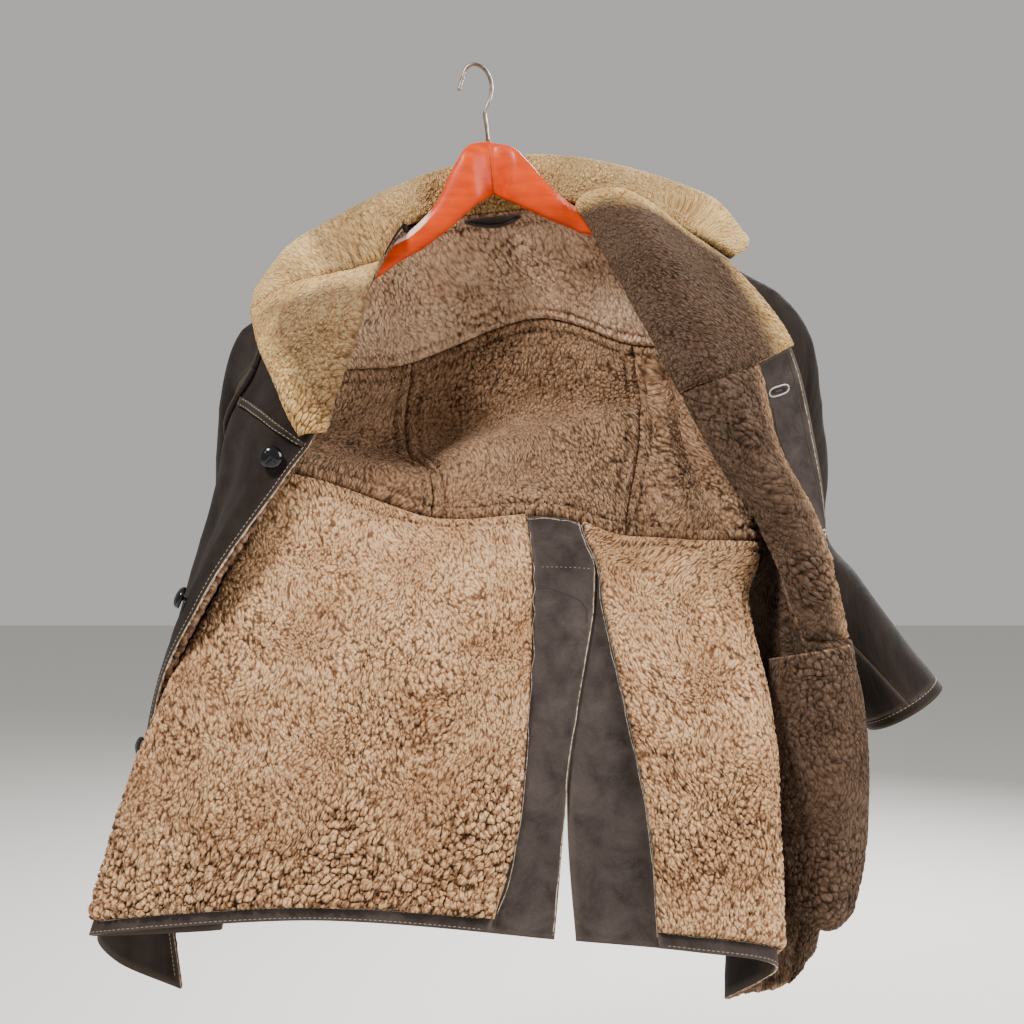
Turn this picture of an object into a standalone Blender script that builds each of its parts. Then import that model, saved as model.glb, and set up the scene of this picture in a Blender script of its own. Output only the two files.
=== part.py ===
"""A shearling coat hung open on a wooden hanger.

Metres, +Z up, X to the right and +Y away from the open fronts. The origin is the inside of the hook's top,
where a rail carries the hanger. Sides are the wearer's: r_ pieces lie at -X. All cloth is laid on a few
smooth surfaces: each is a short table of stations round the coat by levels down it, for the middle of the
hide. The tables are in centimetres in the pattern's own frame, in which the hook's inside top lies at HOOK.
The hide is thin, and the wool stands off it on one side.
"""
import bpy
import bmesh
import numpy as np
from math import pi

for old in list(bpy.data.objects):
    bpy.data.objects.remove(old, do_unlink=True)

CM = 0.01
HOOK = np.array((-0.06, 2.6, 0.77))   # the hook's inside top in the tables' frame, cm
HIDE = 0.0015            # middle of the hide to its suede face
SEAM_PILE = 0.0018       # wool left standing in a seam
PILE = 0.0100            # wool in the middle of a panel
SEAM_SINK = 0.016        # width over which the wool sinks to a seam
HUNG = 0.06              # and below the shoulder seams, where the hanger presses it
RIM = 0.007              # first row of points in from a seam
RIM_SHARE = 0.12         # and at most this share of the panel
GAP = 0.00015            # half the gap between two sewn pieces with the same rows
LOOSE = 0.0006           # half the gap where their rows differ
SIDE = 0.0014            # half the gap along the side seams
TURNED = 0.0010          # half the gap where two pieces meet at a fold
FACING = 0.0011          # half the thickness of a suede strip
TURN_OVER = 0.0042       # from a front's hide to the hide of the part of it that is folded over

# ---------------------------------------------------------------- materials


def material(name, colour, roughness, metallic=0.0):
    """A plain Principled finish."""
    made = bpy.data.materials.new(name)
    made.use_nodes = True
    shader = made.node_tree.nodes["Principled BSDF"]
    shader.inputs["Base Color"].default_value = (*colour, 1.0)
    shader.inputs["Roughness"].default_value = roughness
    shader.inputs["Metallic"].default_value = metallic
    return made


SHEARLING = material("tan_shearling", (0.42, 0.28, 0.18), 0.9)
COLLAR_WOOL = material("collar_shearling", (0.45, 0.33, 0.19), 0.9)
SUEDE = material("brown_suede", (0.045, 0.036, 0.030), 0.8)
LACQUER = material("orange_lacquered_beech", (0.85, 0.10, 0.02), 0.25)
STEEL = material("steel_wire", (0.45, 0.42, 0.38), 0.35, 1.0)
HORN = material("black_button", (0.01, 0.01, 0.012), 0.12)

# ---------------------------------------------------------------- smooth surfaces from tables


def weights(t, count):
    """Catmull-Rom shares: entry [..., i] is how much of point i is in the curve at t, point 0 being t = 0."""
    t = np.asarray(t, dtype=float)
    start = np.clip(np.floor(t), 0, count - 2).astype(int)
    f = t - start
    share = (
        (-f + 2 * f**2 - f**3) / 2,
        (2 - 5 * f**2 + 3 * f**3) / 2,
        (f + 4 * f**2 - 3 * f**3) / 2,
        (-f**2 + f**3) / 2,
    )
    made = np.zeros(t.shape + (count + 2,))
    for step, part in enumerate(share):
        np.put_along_axis(made, (start + step)[..., None], part[..., None], -1)
    made[..., 1] += 2 * made[..., 0]
    made[..., 2] -= made[..., 0]
    made[..., -2] += 2 * made[..., -1]
    made[..., -3] -= made[..., -1]
    return made[..., 1:-1]


def surface(table, u, v):
    """P(u, v) = sum of w_i(u) w_j(v) table[i, j]."""
    u, v = np.broadcast_arrays(u, v)
    across = weights(u, table.shape[0])
    down = weights(v, table.shape[1])
    return np.einsum("...i,...j,ijk->...k", across, down, table)


def line_at(place, rows):
    """Height of the smooth line through (place, height) rows, read at the given places."""
    rows = np.array(rows, dtype=float)
    dense = weights(np.linspace(0, len(rows) - 1, 240), len(rows)) @ rows
    return np.interp(place, dense[:, 0], dense[:, 1])


# ---------------------------------------------------------------- the body of the coat

OVER, SHOULDER, YOKE, CHEST, WAIST, HIP, SKIRT, HEM = range(8)
(R_BEYOND, R_EDGE, R_CHEST, R_SIDE, R_BACK, R_TUCK, R_CREST, B_RIGHT, B_CENTRE,
 B_LEFT, L_CREST, L_TUCK, L_BACK, L_SIDE, L_CHEST, L_FOLD, L_BEYOND) = range(17)

# station        shoulder             yoke seam              chest
UPPER = (
    ("r_edge",  (-7.0, 2.0, -16.0), (-12.2, -5.4, -27.6), (-15.0, -7.0, -37.0)),
    ("r_chest", (-13.8, 2.0, -20.4), (-17.0, -5.2, -28.5), (-20.3, -6.2, -36.6)),
    ("r_side",  (-20.6, 1.8, -24.9), (-21.8, -1.5, -29.5), (-24.4, -1.5, -36.5)),
    ("r_back",  (-22.8, 1.6, -26.4), (-22.8, 2.5, -29.8), (-23.5, 3.0, -36.5)),
    ("r_tuck",  (-20.6, 1.8, -24.9), (-19.8, 6.0, -29.8), (-19.8, 6.0, -36.3)),
    ("r_crest", (-13.8, 2.0, -20.4), (-13.8, 8.0, -29.5), (-15.0, 7.5, -36.3)),
    ("b_right", (-7.0, 2.0, -16.0), (-7.1, 10.0, -28.6), (-7.7, 10.0, -35.9)),
    ("b_centre", (1.9, 5.0, -13.6), (6.2, 11.5, -23.7), (5.5, 12.0, -35.5)),
    ("b_left",  (11.0, 2.0, -13.9), (16.6, 10.0, -26.6), (17.5, 10.0, -35.9)),
    ("l_crest", (18.2, 2.0, -17.0), (22.3, 8.0, -27.0), (23.0, 8.0, -36.2)),
    ("l_tuck",  (25.4, 1.8, -20.1), (26.2, 5.5, -27.2), (27.0, 6.0, -36.5)),
    ("l_back",  (27.8, 1.6, -21.2), (28.8, 2.0, -27.5), (30.0, 4.6, -36.8)),
    ("l_side",  (25.4, 1.8, -20.1), (27.6, -1.3, -27.5), (31.1, 0.8, -37.0)),
    ("l_chest", (18.2, 2.0, -17.0), (23.2, -2.6, -27.8), (27.4, -1.6, -37.2)),
    ("l_fold",  (11.0, 2.0, -13.9), (18.3, -4.0, -28.4), (23.4, -3.2, -38.0)),
)
# station        waist seam            hip                    skirt                  hem
LOWER = (
    ("r_edge",  (-17.9, -8.0, -41.6), (-25.4, -9.0, -52.9), (-31.0, -5.0, -66.5), (-29.2, -0.8, -92.0)),
    ("r_chest", (-22.6, -5.5, -42.0), (-28.0, -4.0, -53.0), (-32.6, -0.8, -67.0), (-35.5, -0.6, -89.4)),
    ("r_side",  (-25.8, -0.5, -42.5), (-28.9, 1.0, -53.3), (-32.3, 4.0, -67.3), (-38.0, 2.0, -87.3)),
    ("r_back",  (-24.0, 3.5, -42.5), (-26.0, 4.5, -53.3), (-28.0, 6.5, -67.3), (-33.0, 5.5, -87.0)),
    ("r_tuck",  (-20.5, 3.5, -42.0), (-21.5, 1.5, -53.0), (-23.0, 2.5, -67.0), (-25.6, 0.5, -86.5)),
    ("r_crest", (-17.6, -3.0, -41.5), (-23.6, -5.0, -52.8), (-30.1, -8.0, -66.0), (-35.5, -10.4, -84.0)),
    ("b_right", (-4.7, 1.0, -45.5), (-9.1, -5.0, -53.1), (-11.4, -9.5, -65.9), (-14.0, -12.0, -82.1)),
    ("b_centre", (7.7, 2.0, -45.1), (9.4, -2.0, -53.3), (9.5, -7.0, -66.3), (8.7, -10.0, -84.6)),
    ("b_left",  (15.3, 2.0, -47.3), (18.5, -1.0, -53.4), (19.8, -6.0, -66.0), (20.3, -10.5, -85.5)),
    ("l_crest", (26.3, 2.0, -47.7), (25.6, 0.0, -53.4), (28.3, -4.6, -66.5), (28.6, -8.8, -87.4)),
    ("l_tuck",  (28.6, 5.4, -47.5), (28.0, 4.5, -53.6), (26.3, 1.0, -67.5), (24.8, -3.0, -92.2)),
    ("l_back",  (31.6, 6.4, -47.5), (30.8, 6.0, -53.6), (29.3, 4.0, -68.0), (26.3, 0.0, -92.8)),
    ("l_side",  (33.6, 3.9, -47.0), (32.6, 4.6, -53.6), (32.3, 4.0, -68.0), (28.3, 0.6, -92.7)),
    ("l_chest", (32.4, 0.6, -46.5), (32.8, 2.0, -53.5), (34.2, 3.2, -68.0), (30.0, 0.8, -92.5)),
    ("l_fold",  (28.4, -2.0, -45.5), (31.8, -0.6, -53.3), (35.7, 2.6, -68.0), (31.5, 1.0, -91.8)),
)
# The inside of the left front, turned to the right from its fold: the lapel, the wool strip and the facing.
# station       shoulder             yoke                   chest                  waist
FACE_UPPER = (
    ("l_mid",  (14.2, -2.8, -13.3), (22.3, -6.6, -28.3), (26.4, -6.0, -38.0), (30.7, -4.2, -45.5)),
    ("l_roll", (20.0, -3.2, -17.2), (26.6, -5.4, -28.2), (29.6, -4.0, -38.3), (33.5, -2.4, -45.5)),
    ("l_edge", (24.2, -3.3, -19.8), (30.6, -3.7, -28.0), (33.6, -2.0, -38.0), (34.9, -0.4, -45.7)),
)
# station       hip                    skirt                 hem
FACE_LOWER = (
    ("l_mid",  (33.6, -2.2, -53.3), (37.2, 2.3, -68.0), (32.6, 1.3, -90.5)),
    ("l_roll", (35.9, -0.8, -53.3), (38.6, 2.8, -68.0), (33.6, 2.0, -88.5)),
    ("l_edge", (35.4, 2.4, -53.3), (37.6, 5.4, -68.0), (32.6, 4.5, -87.0)),
)

FOLD_LIFT = np.array((-0.001, -0.004, 0.001))   # the lapel's fold stands this much proud of the hidden yoke
FACE_ARCH = (0.8, 0.4, 0.0)   # how far mid, roll and edge arch over the shoulder as the fold does

# Folds: a ridge (+) or trough (-) of the cloth between two places, in stations and levels, sizes in cm.
# name             from u, v     to u, v      height  width  bend
FOLDS = (
    ("hollow lip",  6.7, 3.80,   8.9, 3.05,    2.0,   2.6,   1.2),
    ("hollow",      6.9, 3.30,   8.6, 2.70,   -1.3,   3.4,   0.6),
    ("left valley", 9.5, 2.40,   9.8, 3.70,   -1.0,   2.0,   0.0),
    ("left ridge",  9.2, 2.30,   9.4, 3.60,    0.9,   1.6,   0.4),
    ("hip drape r", 6.3, 4.20,   7.2, 5.60,    0.7,   3.0,   0.8),
    ("hip drape l", 9.3, 4.30,   9.6, 6.20,    0.6,   2.2,   0.5),
    ("skirt swell", 6.9, 5.30,   7.1, 6.90,    0.8,   4.5,   0.0),
    ("front r 1",   1.6, 3.00,   1.4, 5.20,   -0.5,   1.8,   0.4),
    ("front r 2",   2.6, 2.40,   2.3, 5.80,    0.5,   2.4,  -0.5),
    ("front l 1",  12.8, 3.20,  12.9, 5.80,    0.5,   2.2,   0.4),
)
STATION_CM = 9.0
LEVEL_CM = 12.0


def placed(rows):
    """Table points to metres in the coat's frame."""
    return (np.array(rows, dtype=float) - HOOK) * CM


def stations(upper, lower):
    """Join the two halves of a table into [station, level, xyz], in metres."""
    return placed([top[1:] + bottom[1:] for top, bottom in zip(upper, lower)])


def body_table():
    """The body's net, with the row over the shoulder and the columns beyond each edge that steer its ends."""
    cloth = stations(UPPER, LOWER)
    face = stations(FACE_UPPER, FACE_LOWER)
    beyond_r = 2 * cloth[0] - cloth[1]
    beyond_l = face[0].copy()
    beyond_r[0] = cloth[B_CENTRE - 1, 0]
    beyond_l[0] = cloth[B_CENTRE - 1, 0]
    cloth = np.concatenate((beyond_r[None], cloth, beyond_l[None]))
    partner = np.arange(L_BEYOND + 1)
    partner[R_EDGE:B_RIGHT + 1] = partner[R_EDGE:B_RIGHT + 1][::-1]
    partner[B_LEFT:L_FOLD + 1] = partner[B_LEFT:L_FOLD + 1][::-1]
    over = cloth[partner, 1].copy()
    over[B_CENTRE] = placed((1.9, 4.5, -8.0))
    return np.concatenate((over[:, None], cloth), axis=1)


BODY = body_table()


def lean(place, u, v):
    """Unit vector off the cloth on its wool side: slope down the coat crossed with slope round it."""
    step = 0.002
    across = place(u + step, v) - place(u - step, v)
    down = place(u, v + step) - place(u, v - step)
    normal = np.cross(down, across)
    return normal / np.linalg.norm(normal, axis=-1, keepdims=True)


def plain_body(u, v):
    """The body's cloth before its folds."""
    return surface(BODY, u, v)


def face_table():
    """The net of the left front's turned inside: chest (steering only), fold, mid, roll, edge."""
    own = stations(FACE_UPPER, FACE_LOWER)
    arch = np.array(FACE_ARCH)[:, None, None]
    along_fold = BODY[L_FOLD, OVER] - BODY[L_FOLD, SHOULDER]
    over = own[:, :1] + arch * along_fold + (1 - arch) * (own[:, :1] - own[:, 1:2])
    hidden = BODY[L_CHEST:L_FOLD + 1].copy()
    hidden[1, :CHEST] += FOLD_LIFT
    return np.concatenate((hidden, np.concatenate((over, own), axis=1)))


FACE_NET = face_table()
F_FOLD, F_MID, F_ROLL, F_EDGE = 1, 2, 3, 4


def fold_rise(u, v):
    """Sum of the folds: height * exp(-(distance across / width)^2), fading out smoothly past both ends."""
    rise = np.zeros(np.broadcast(u, v).shape)
    for _, u0, v0, u1, v1, height, width, bend in FOLDS:
        run = np.array(((u1 - u0) * STATION_CM, (v1 - v0) * LEVEL_CM))
        length = np.hypot(*run)
        du = (u - u0) * STATION_CM
        dv = (v - v0) * LEVEL_CM
        along = (du * run[0] + dv * run[1]) / length**2
        off = (du * run[1] - dv * run[0]) / length - bend * np.sin(pi * np.clip(along, 0, 1))
        past = (np.abs(along - 0.5) - 0.5).clip(0) * length
        rise += height * CM * np.exp(-(off / width)**2 - (past / (1.5 * width))**2)
    return rise


def body(u, v):
    """The body's cloth, folds and all."""
    u, v = np.broadcast_arrays(np.asarray(u, dtype=float), v)
    return plain_body(u, v) + lean(plain_body, u, v) * fold_rise(u, v)[..., None]


def left_face(u, v):
    """The turned inside of the left front."""
    return surface(FACE_NET, u, v)


# ---------------------------------------------------------------- seams, as lines on the body

ARMHOLE_FOOT = 3.35
# level, station of the cloth's edge: round the armhole, then down the side seam
R_SIDE_OF_BACK = ((1.0, 5.0), (1.5, 5.2), (2.1, 5.25), (2.7, 5.12), (3.05, 4.88), (3.25, 4.59), (3.33, 4.35),
                  (3.35, 4.15), (3.42, 4.19), (4.0, 4.6), (5.0, 5.5), (6.0, 5.8), (7.0, 5.85))
R_SIDE_OF_FRONT = ((1.0, 3.0), (1.5, 2.8), (2.1, 2.78), (2.7, 3.05), (3.05, 3.40), (3.25, 3.71), (3.33, 3.95),
                   (3.35, 4.15), (3.42, 4.19), (4.0, 4.6), (5.0, 5.5), (6.0, 5.8), (7.0, 5.85))
L_SIDE_OF_BACK = ((1.0, 11.0), (1.5, 10.8), (2.1, 10.75), (2.7, 10.9), (3.05, 11.15), (3.25, 11.45),
                  (3.33, 11.69), (3.35, 11.9), (3.42, 11.83), (4.0, 11.2), (5.0, 10.4), (6.0, 10.3), (7.0, 10.3))
L_SIDE_OF_FRONT = ((1.0, 13.0), (1.5, 13.2), (2.1, 13.25), (2.7, 13.0), (3.05, 12.65), (3.25, 12.35),
                   (3.33, 12.11), (3.35, 11.9), (3.42, 11.83), (4.0, 11.2), (5.0, 10.4), (6.0, 10.3), (7.0, 10.3))
# station, level of the front yoke seams
R_YOKE_SEAM = ((1.0, 3.30), (1.6, 3.02), (2.0, 2.86), (2.4, 2.73), (2.8, 2.62), (3.4, 2.50))
L_YOKE_SEAM = ((12.5, 2.55), (14.0, 2.85), (15.0, 3.0))
# level, station of the wool's edge beside each suede vent facing, and of the facing's free edge
VENT_R_WOOL = ((4.0, 7.76), (5.0, 7.765), (6.0, 7.75), (6.5, 7.735), (7.0, 7.65))
VENT_R_FREE = ((4.0, 8.33), (4.5, 8.32), (5.0, 8.20), (6.0, 8.00), (7.0, 7.94))
VENT_L_WOOL = ((4.0, 8.38), (4.5, 8.37), (5.0, 8.28), (5.5, 8.34), (6.0, 8.48), (6.5, 8.64), (7.0, 8.70))
VENT_L_FREE = ((4.0, 7.95), (5.0, 7.95), (6.0, 7.97), (6.5, 7.99), (7.0, 8.06))
BAND_TOP = 6.915         # level of the hem band's upper edge
# station, level on the left front's face
LAPEL_FOOT = ((1.0, 2.42), (2.0, 2.30), (3.0, 2.19), (4.0, 2.05))
STRIP_FOOT = 5.32


def level(value):
    """A line that keeps to one station or level."""
    return lambda place: np.full(np.shape(place), float(value))


def along(rows):
    """A line through (place, value) rows."""
    return lambda place: line_at(place, rows)


# ---------------------------------------------------------------- building walls


def smooth(t):
    """0 below 0, 1 above 1, an S between."""
    t = np.clip(t, 0, 1)
    return t * t * (3 - 2 * t)


def spaced(count, length, gaps, border, crowd=1.0):
    """Places 0..1 over a length: one at each end's gap, one that shapes each border, the rest between them.

    The rest are evenly spread, or crowded to the start by a power.
    """
    start, end = gaps[0] / length, 1 - gaps[1] / length
    if not border:
        return np.linspace(start, end, count + 1)
    rim = min(RIM_SHARE, RIM / length)
    rest = 2.2 * rim + (1 - 4.4 * rim) * np.linspace(0, 1, count - 1) ** crowd
    return np.concatenate(((start, rim), rest, (1 - rim, end)))


def solid(name, vertices, faces, finish):
    """One closed object from points and faces, turned to face out."""
    mesh = bpy.data.meshes.new(name)
    mesh.from_pydata(vertices.tolist(), [], faces)
    work = bmesh.new()
    work.from_mesh(mesh)
    bmesh.ops.remove_doubles(work, verts=work.verts, dist=0.00002)
    bmesh.ops.recalc_face_normals(work, faces=work.faces)
    work.to_mesh(mesh)
    work.free()
    mesh.shade_smooth()
    mesh.materials.append(finish)
    made = bpy.data.objects.new(name, mesh)
    bpy.context.scene.collection.objects.link(made)
    return made


def shell_faces(down, across, ring):
    """Quads of a front grid, a back grid behind it and the rim between them; a ring closes on itself."""
    grid = np.arange(down * across).reshape(down, across)
    if ring:
        grid = np.concatenate((grid, grid[:, :1]), axis=1)
    back = grid + down * across
    quads = []
    for one, sign in ((grid, 1), (back, -1)):
        cell = np.stack((one[:-1, :-1], one[1:, :-1], one[1:, 1:], one[:-1, 1:]), axis=-1).reshape(-1, 4)
        quads += cell[:, ::sign].tolist()
    edges = [grid[0], grid[-1]] if ring else [grid[0], grid[-1], grid[:, 0], grid[:, -1]]
    for edge in edges:
        deep = edge + down * across
        quads += np.stack((edge[:-1], edge[1:], deep[1:], deep[:-1]), axis=-1).tolist()
    return quads


def sew_shell(name, points, normals, wool, suede, finish, ring=False):
    """A wall that reaches wool off the points on one side and suede on the other."""
    down, across = points.shape[:2]
    front = points + normals * wool[..., None]
    back = points - normals * suede
    vertices = np.concatenate((front.reshape(-1, 3), back.reshape(-1, 3)))
    return solid(name, vertices, shell_faces(down, across, ring), finish)


def size_of(place, left, right, top, bottom):
    """Mean width and height of a panel, measured over the cloth."""
    s, t = np.meshgrid(np.linspace(0, 1, 17), np.linspace(0, 1, 17))
    points = place(*spot(left, right, top, bottom, s, t))
    width = np.linalg.norm(np.diff(points, axis=1), axis=-1).sum(1).mean()
    height = np.linalg.norm(np.diff(points, axis=0), axis=-1).sum(0).mean()
    return width, height


def edge_level(left, right, line, s):
    """Level of a top or bottom line at s across, found by stepping along the line."""
    v = line(np.zeros(np.shape(s)))
    for _ in range(6):
        v = line(left(v) + (right(v) - left(v)) * s)
    return v


def spot(left, right, top, bottom, s, t):
    """Station and level at s across and t down a panel between four edge lines."""
    v = (1 - t) * edge_level(left, right, top, s) + t * edge_level(left, right, bottom, s)
    return left(v) + (right(v) - left(v)) * s, v


def panel(name, place, edges, grid, gaps=(GAP, GAP, LOOSE, LOOSE), finish=SHEARLING, pile=PILE,
          seam=SEAM_PILE, shift=0.0, span=None, rims=True, pressed=SEAM_SINK, crowd=1.0):
    """One cut piece: the cloth between its left, right, top and bottom edge lines, wool sunk along each seam.

    Neighbours with the same span and the same count of rows share their rows' places along the seam.
    Below the top seam the wool rises over the width pressed.
    """
    width, height = size_of(place, *edges)
    rows_for = span or (width, height)
    columns = spaced(grid[0], rows_for[0], gaps[:2], rims)
    s, t = np.meshgrid(columns, spaced(grid[1], rows_for[1], gaps[2:], rims, crowd))
    u, v = spot(*edges, s, t)
    normals = lean(place, u, v)
    points = place(u, v) + normals * shift
    inset = np.minimum(np.minimum(s, 1 - s) * width, np.minimum(t * SEAM_SINK / pressed, 1 - t) * height)
    wool = seam + (pile - seam) * smooth(inset / SEAM_SINK)
    return sew_shell(name, points, normals, wool, HIDE if pile > seam else seam, finish)


def strip(name, place, edges, grid, gaps=(GAP, GAP, LOOSE, LOOSE), shift=0.0, span=None, rims=False):
    """A flat suede strip on the cloth's own place, moved out by shift."""
    return panel(name, place, edges, grid, gaps, SUEDE, FACING, FACING, shift, span, rims)


# ---------------------------------------------------------------- back

BACK_R = along(R_SIDE_OF_BACK)
BACK_L = along(L_SIDE_OF_BACK)
ALL_LOOSE = (LOOSE,) * 4


def make_back():
    """Yoke, centre and sides above the waist seam, skirt halves, vent facings and hem bands below it."""
    yoke, waist, hem = level(YOKE), level(WAIST), level(HEM)
    right, left = level(B_RIGHT), level(B_LEFT)
    outer_r, outer_l = (LOOSE, GAP, LOOSE, LOOSE), (GAP, LOOSE, LOOSE, LOOSE)
    bodice = (0.13, 0.19)
    panel("back_yoke", body, (BACK_R, BACK_L, level(SHOULDER), yoke), (17, 6), ALL_LOOSE, pressed=HUNG)
    panel("back_side_r", body, (BACK_R, right, yoke, waist), (5, 9), outer_r, span=bodice)
    panel("back_centre", body, (right, left, yoke, waist), (9, 9), span=(0.22, 0.19))
    panel("back_side_l", body, (left, BACK_L, yoke, waist), (5, 9), outer_l, span=bodice)
    wool_r, wool_l = along(VENT_R_WOOL), along(VENT_L_WOOL)
    band = level(BAND_TOP)
    skirt = (0.36, 0.38)
    panel("back_skirt_r", body, (BACK_R, wool_r, waist, band), (10, 12), ALL_LOOSE, span=skirt)
    panel("back_skirt_l", body, (wool_l, BACK_L, waist, band), (9, 12), ALL_LOOSE, span=skirt)
    strip("hem_band_r", body, (BACK_R, wool_r, band, hem), (10, 1), (LOOSE, LOOSE, 0, LOOSE), span=(0.36, 0.016), rims=True)
    strip("hem_band_l", body, (wool_l, BACK_L, band, hem), (9, 1), (LOOSE, LOOSE, 0, LOOSE), span=(0.36, 0.016), rims=True)
    strip("vent_facing_r", body, (wool_r, along(VENT_R_FREE), waist, hem), (3, 12), ALL_LOOSE)
    strip("vent_facing_l", body, (along(VENT_L_FREE), wool_l, waist, hem), (3, 12), ALL_LOOSE, VENT_DEEP)


# ---------------------------------------------------------------- fronts

FRONT_R = along(R_SIDE_OF_FRONT)
FRONT_L = along(L_SIDE_OF_FRONT)
YOKE_BAND = 0.05         # half the raised band, in levels


def make_right_front():
    """Yoke, raised yoke band and the long front, suede side out."""
    seam = along(R_YOKE_SEAM)
    edge = level(R_EDGE)
    folded = (TURNED, SIDE, LOOSE, LOOSE)
    panel("front_yoke_r", body, (edge, FRONT_R, level(SHOULDER), seam), (9, 6), folded, span=(0.22, 0.2),
          pressed=HUNG)
    panel("front_r", body, (edge, FRONT_R, seam, level(HEM)), (9, 17), folded, span=(0.22, 0.5))
    strip("yoke_band_r", body, (level(R_EDGE + 0.1), level(2.85), lambda u: seam(u) - YOKE_BAND,
                                lambda u: seam(u) + YOKE_BAND), (10, 1), shift=-YOKE_BAND_OUT)


def make_left_front():
    """Yoke and front back to the fold, then the lapel, strip, facing and skirt part turned out from it."""
    seam = along(L_YOKE_SEAM)
    fold = level(L_FOLD)
    hidden = (SIDE, TURNED, LOOSE, LOOSE)
    panel("front_yoke_l", body, (FRONT_L, fold, level(SHOULDER), seam), (7, 6), hidden, span=(0.2, 0.2),
          pressed=HUNG)
    panel("front_l", body, (FRONT_L, fold, seam, level(HEM)), (7, 17), hidden, span=(0.2, 0.5), pile=0.008)
    foot = along(LAPEL_FOOT)
    turn, roll, edge = level(F_FOLD), level(F_ROLL), level(F_EDGE)
    strip_foot, hem = level(STRIP_FOOT), level(HEM)
    turned = (TURNED, LOOSE, LOOSE, LOOSE)
    panel("lapel_l", left_face, (turn, edge, level(SHOULDER), foot), (8, 8), (0.0016, LOOSE, LOOSE, LOOSE),
          COLLAR_WOOL)
    panel("front_strip_l", left_face, (turn, roll, foot, strip_foot), (5, 10), turned)
    panel("front_skirt_l", left_face, (turn, roll, strip_foot, hem), (4, 9), turned)
    return strip("front_facing_l", left_face, (roll, edge, foot, hem), (3, 18), (0.0017, LOOSE, LOOSE, LOOSE))


# ---------------------------------------------------------------- lapel, collar and neck patch

# The right lapel, turned out over the front. level of the front's edge, then crest, inner, outer, edge.
LAPEL_R = (
    (1.50, (-11.5, -3.7, -21.1), (-13.6, -4.6, -21.8), (-17.8, -4.6, -23.0), (-21.3, -4.0, -25.2)),
    (1.95, (-12.1, -6.6, -27.4), (-14.6, -7.3, -27.2), (-17.6, -7.2, -27.6), (-20.2, -6.5, -28.8)),
    (2.40, (-13.3, -7.7, -31.6), (-14.9, -8.3, -31.7), (-16.8, -8.4, -32.0), (-18.6, -8.0, -32.4)),
    (2.75, (-14.2, -8.2, -34.8), (-15.1, -8.7, -35.0), (-16.2, -8.8, -35.2), (-17.3, -8.6, -35.5)),
    (2.97, (-14.8, -8.3, -36.9), (-15.2, -8.7, -37.1), (-15.8, -8.8, -37.2), (-16.3, -8.7, -37.4)),
)
# The collar, from the right gorge round the neck to the left one. stand, top of the roll, outer edge.
COLLAR = (
    ("gorge r",    (-13.6, -4.6, -21.8), (-17.8, -4.6, -23.0), (-21.3, -4.0, -25.2)),
    ("shoulder r", (-12.8, -2.2, -18.0), (-17.8, -2.2, -19.4), (-21.0, -1.6, -23.2)),
    ("neck r",     (-10.2, 0.6, -14.4), (-14.9, 0.8, -16.7), (-19.3, 2.8, -21.3)),
    ("back r",     (-3.4, 4.6, -10.6), (-5.5, 7.2, -10.8), (-8.5, 10.5, -15.5)),
    ("back",       (1.7, 5.2, -9.8), (1.3, 7.8, -9.0), (1.0, 11.5, -13.8)),
    ("back l",     (7.6, 4.4, -9.6), (8.2, 6.8, -8.6), (10.5, 10.5, -13.0)),
    ("neck l",     (12.8, 1.4, -10.8), (16.4, 3.4, -10.9), (20.7, 6.5, -15.2)),
    ("shoulder l", (17.9, 0.2, -13.6), (23.4, 1.9, -13.6), (27.0, 2.9, -17.3)),
    ("gorge l",    (20.2, -0.5, -16.6), (23.5, 0.5, -17.8), (25.7, 1.5, -19.0)),
)
GORGE_LEVEL = 1.50       # where the right gorge meets the front's edge
GORGE_STATION = 2.7      # where the left gorge ends on the lapel's head
NECK_R, NECK_L, GORGE_L = 2, 6, 8
LAPEL_ENDS = 4
COLLAR_EDGE = 3


def sewn_on(net, w, s, seam):
    """A surface from a net whose first column is moved to lie on a seam; the rest follows by its share."""
    share = weights(w, net.shape[0])[..., :1]
    return surface(net, w, s) + share * (seam - surface(net, np.zeros_like(w), s))


LAPEL_NET = placed([row[1:2] + row[1:] for row in LAPEL_R]).transpose(1, 0, 2)
COLLAR_NET = placed([row[1:2] + row[1:] for row in COLLAR]).transpose(1, 0, 2)


def turned_edge(down):
    """The right front's edge, moved off its suede by the thickness of what folds over it."""
    return body(R_EDGE, down) - lean(body, np.full(np.shape(down), float(R_EDGE)), down) * TURN_OVER


def lapel_r(u, s):
    """The right lapel: u runs from its outer edge (0) to the front's edge (4), s from gorge to tip."""
    u, s = np.broadcast_arrays(np.asarray(u, dtype=float), s)
    front_level = weights(s, len(LAPEL_R)) @ np.array([row[0] for row in LAPEL_R])
    return sewn_on(LAPEL_NET, LAPEL_ENDS - u, s, turned_edge(front_level))


def neck_line(s):
    """The seam that the collar stands on: front edge, back neck, then the head of the left lapel."""
    rise = turned_edge(GORGE_LEVEL + (SHOULDER - GORGE_LEVEL) * np.clip(s / NECK_R, 0, 1))
    share = np.clip((s - NECK_R) / (NECK_L - NECK_R), 0, 1)
    station = B_RIGHT + (B_LEFT - B_RIGHT) * share
    over = smooth(np.abs(share - 0.5) * 4 - 0.6)[..., None] * TURN_OVER
    neck = body(station, SHOULDER) - lean(body, station, np.full(station.shape, float(SHOULDER))) * over
    head = F_FOLD + (GORGE_STATION - F_FOLD) * np.clip((s - NECK_L) / (GORGE_L - NECK_L), 0, 1)
    gorge = left_face(head, np.full(np.shape(s), float(SHOULDER)))
    gorge = gorge + np.clip(s - NECK_L, 0, 1)[..., None] * np.array((0.0, 0.006, 0.0))
    first = (s < NECK_R)[..., None]
    last = (s > NECK_L)[..., None]
    return np.where(first, rise, np.where(last, gorge, neck))


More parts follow.
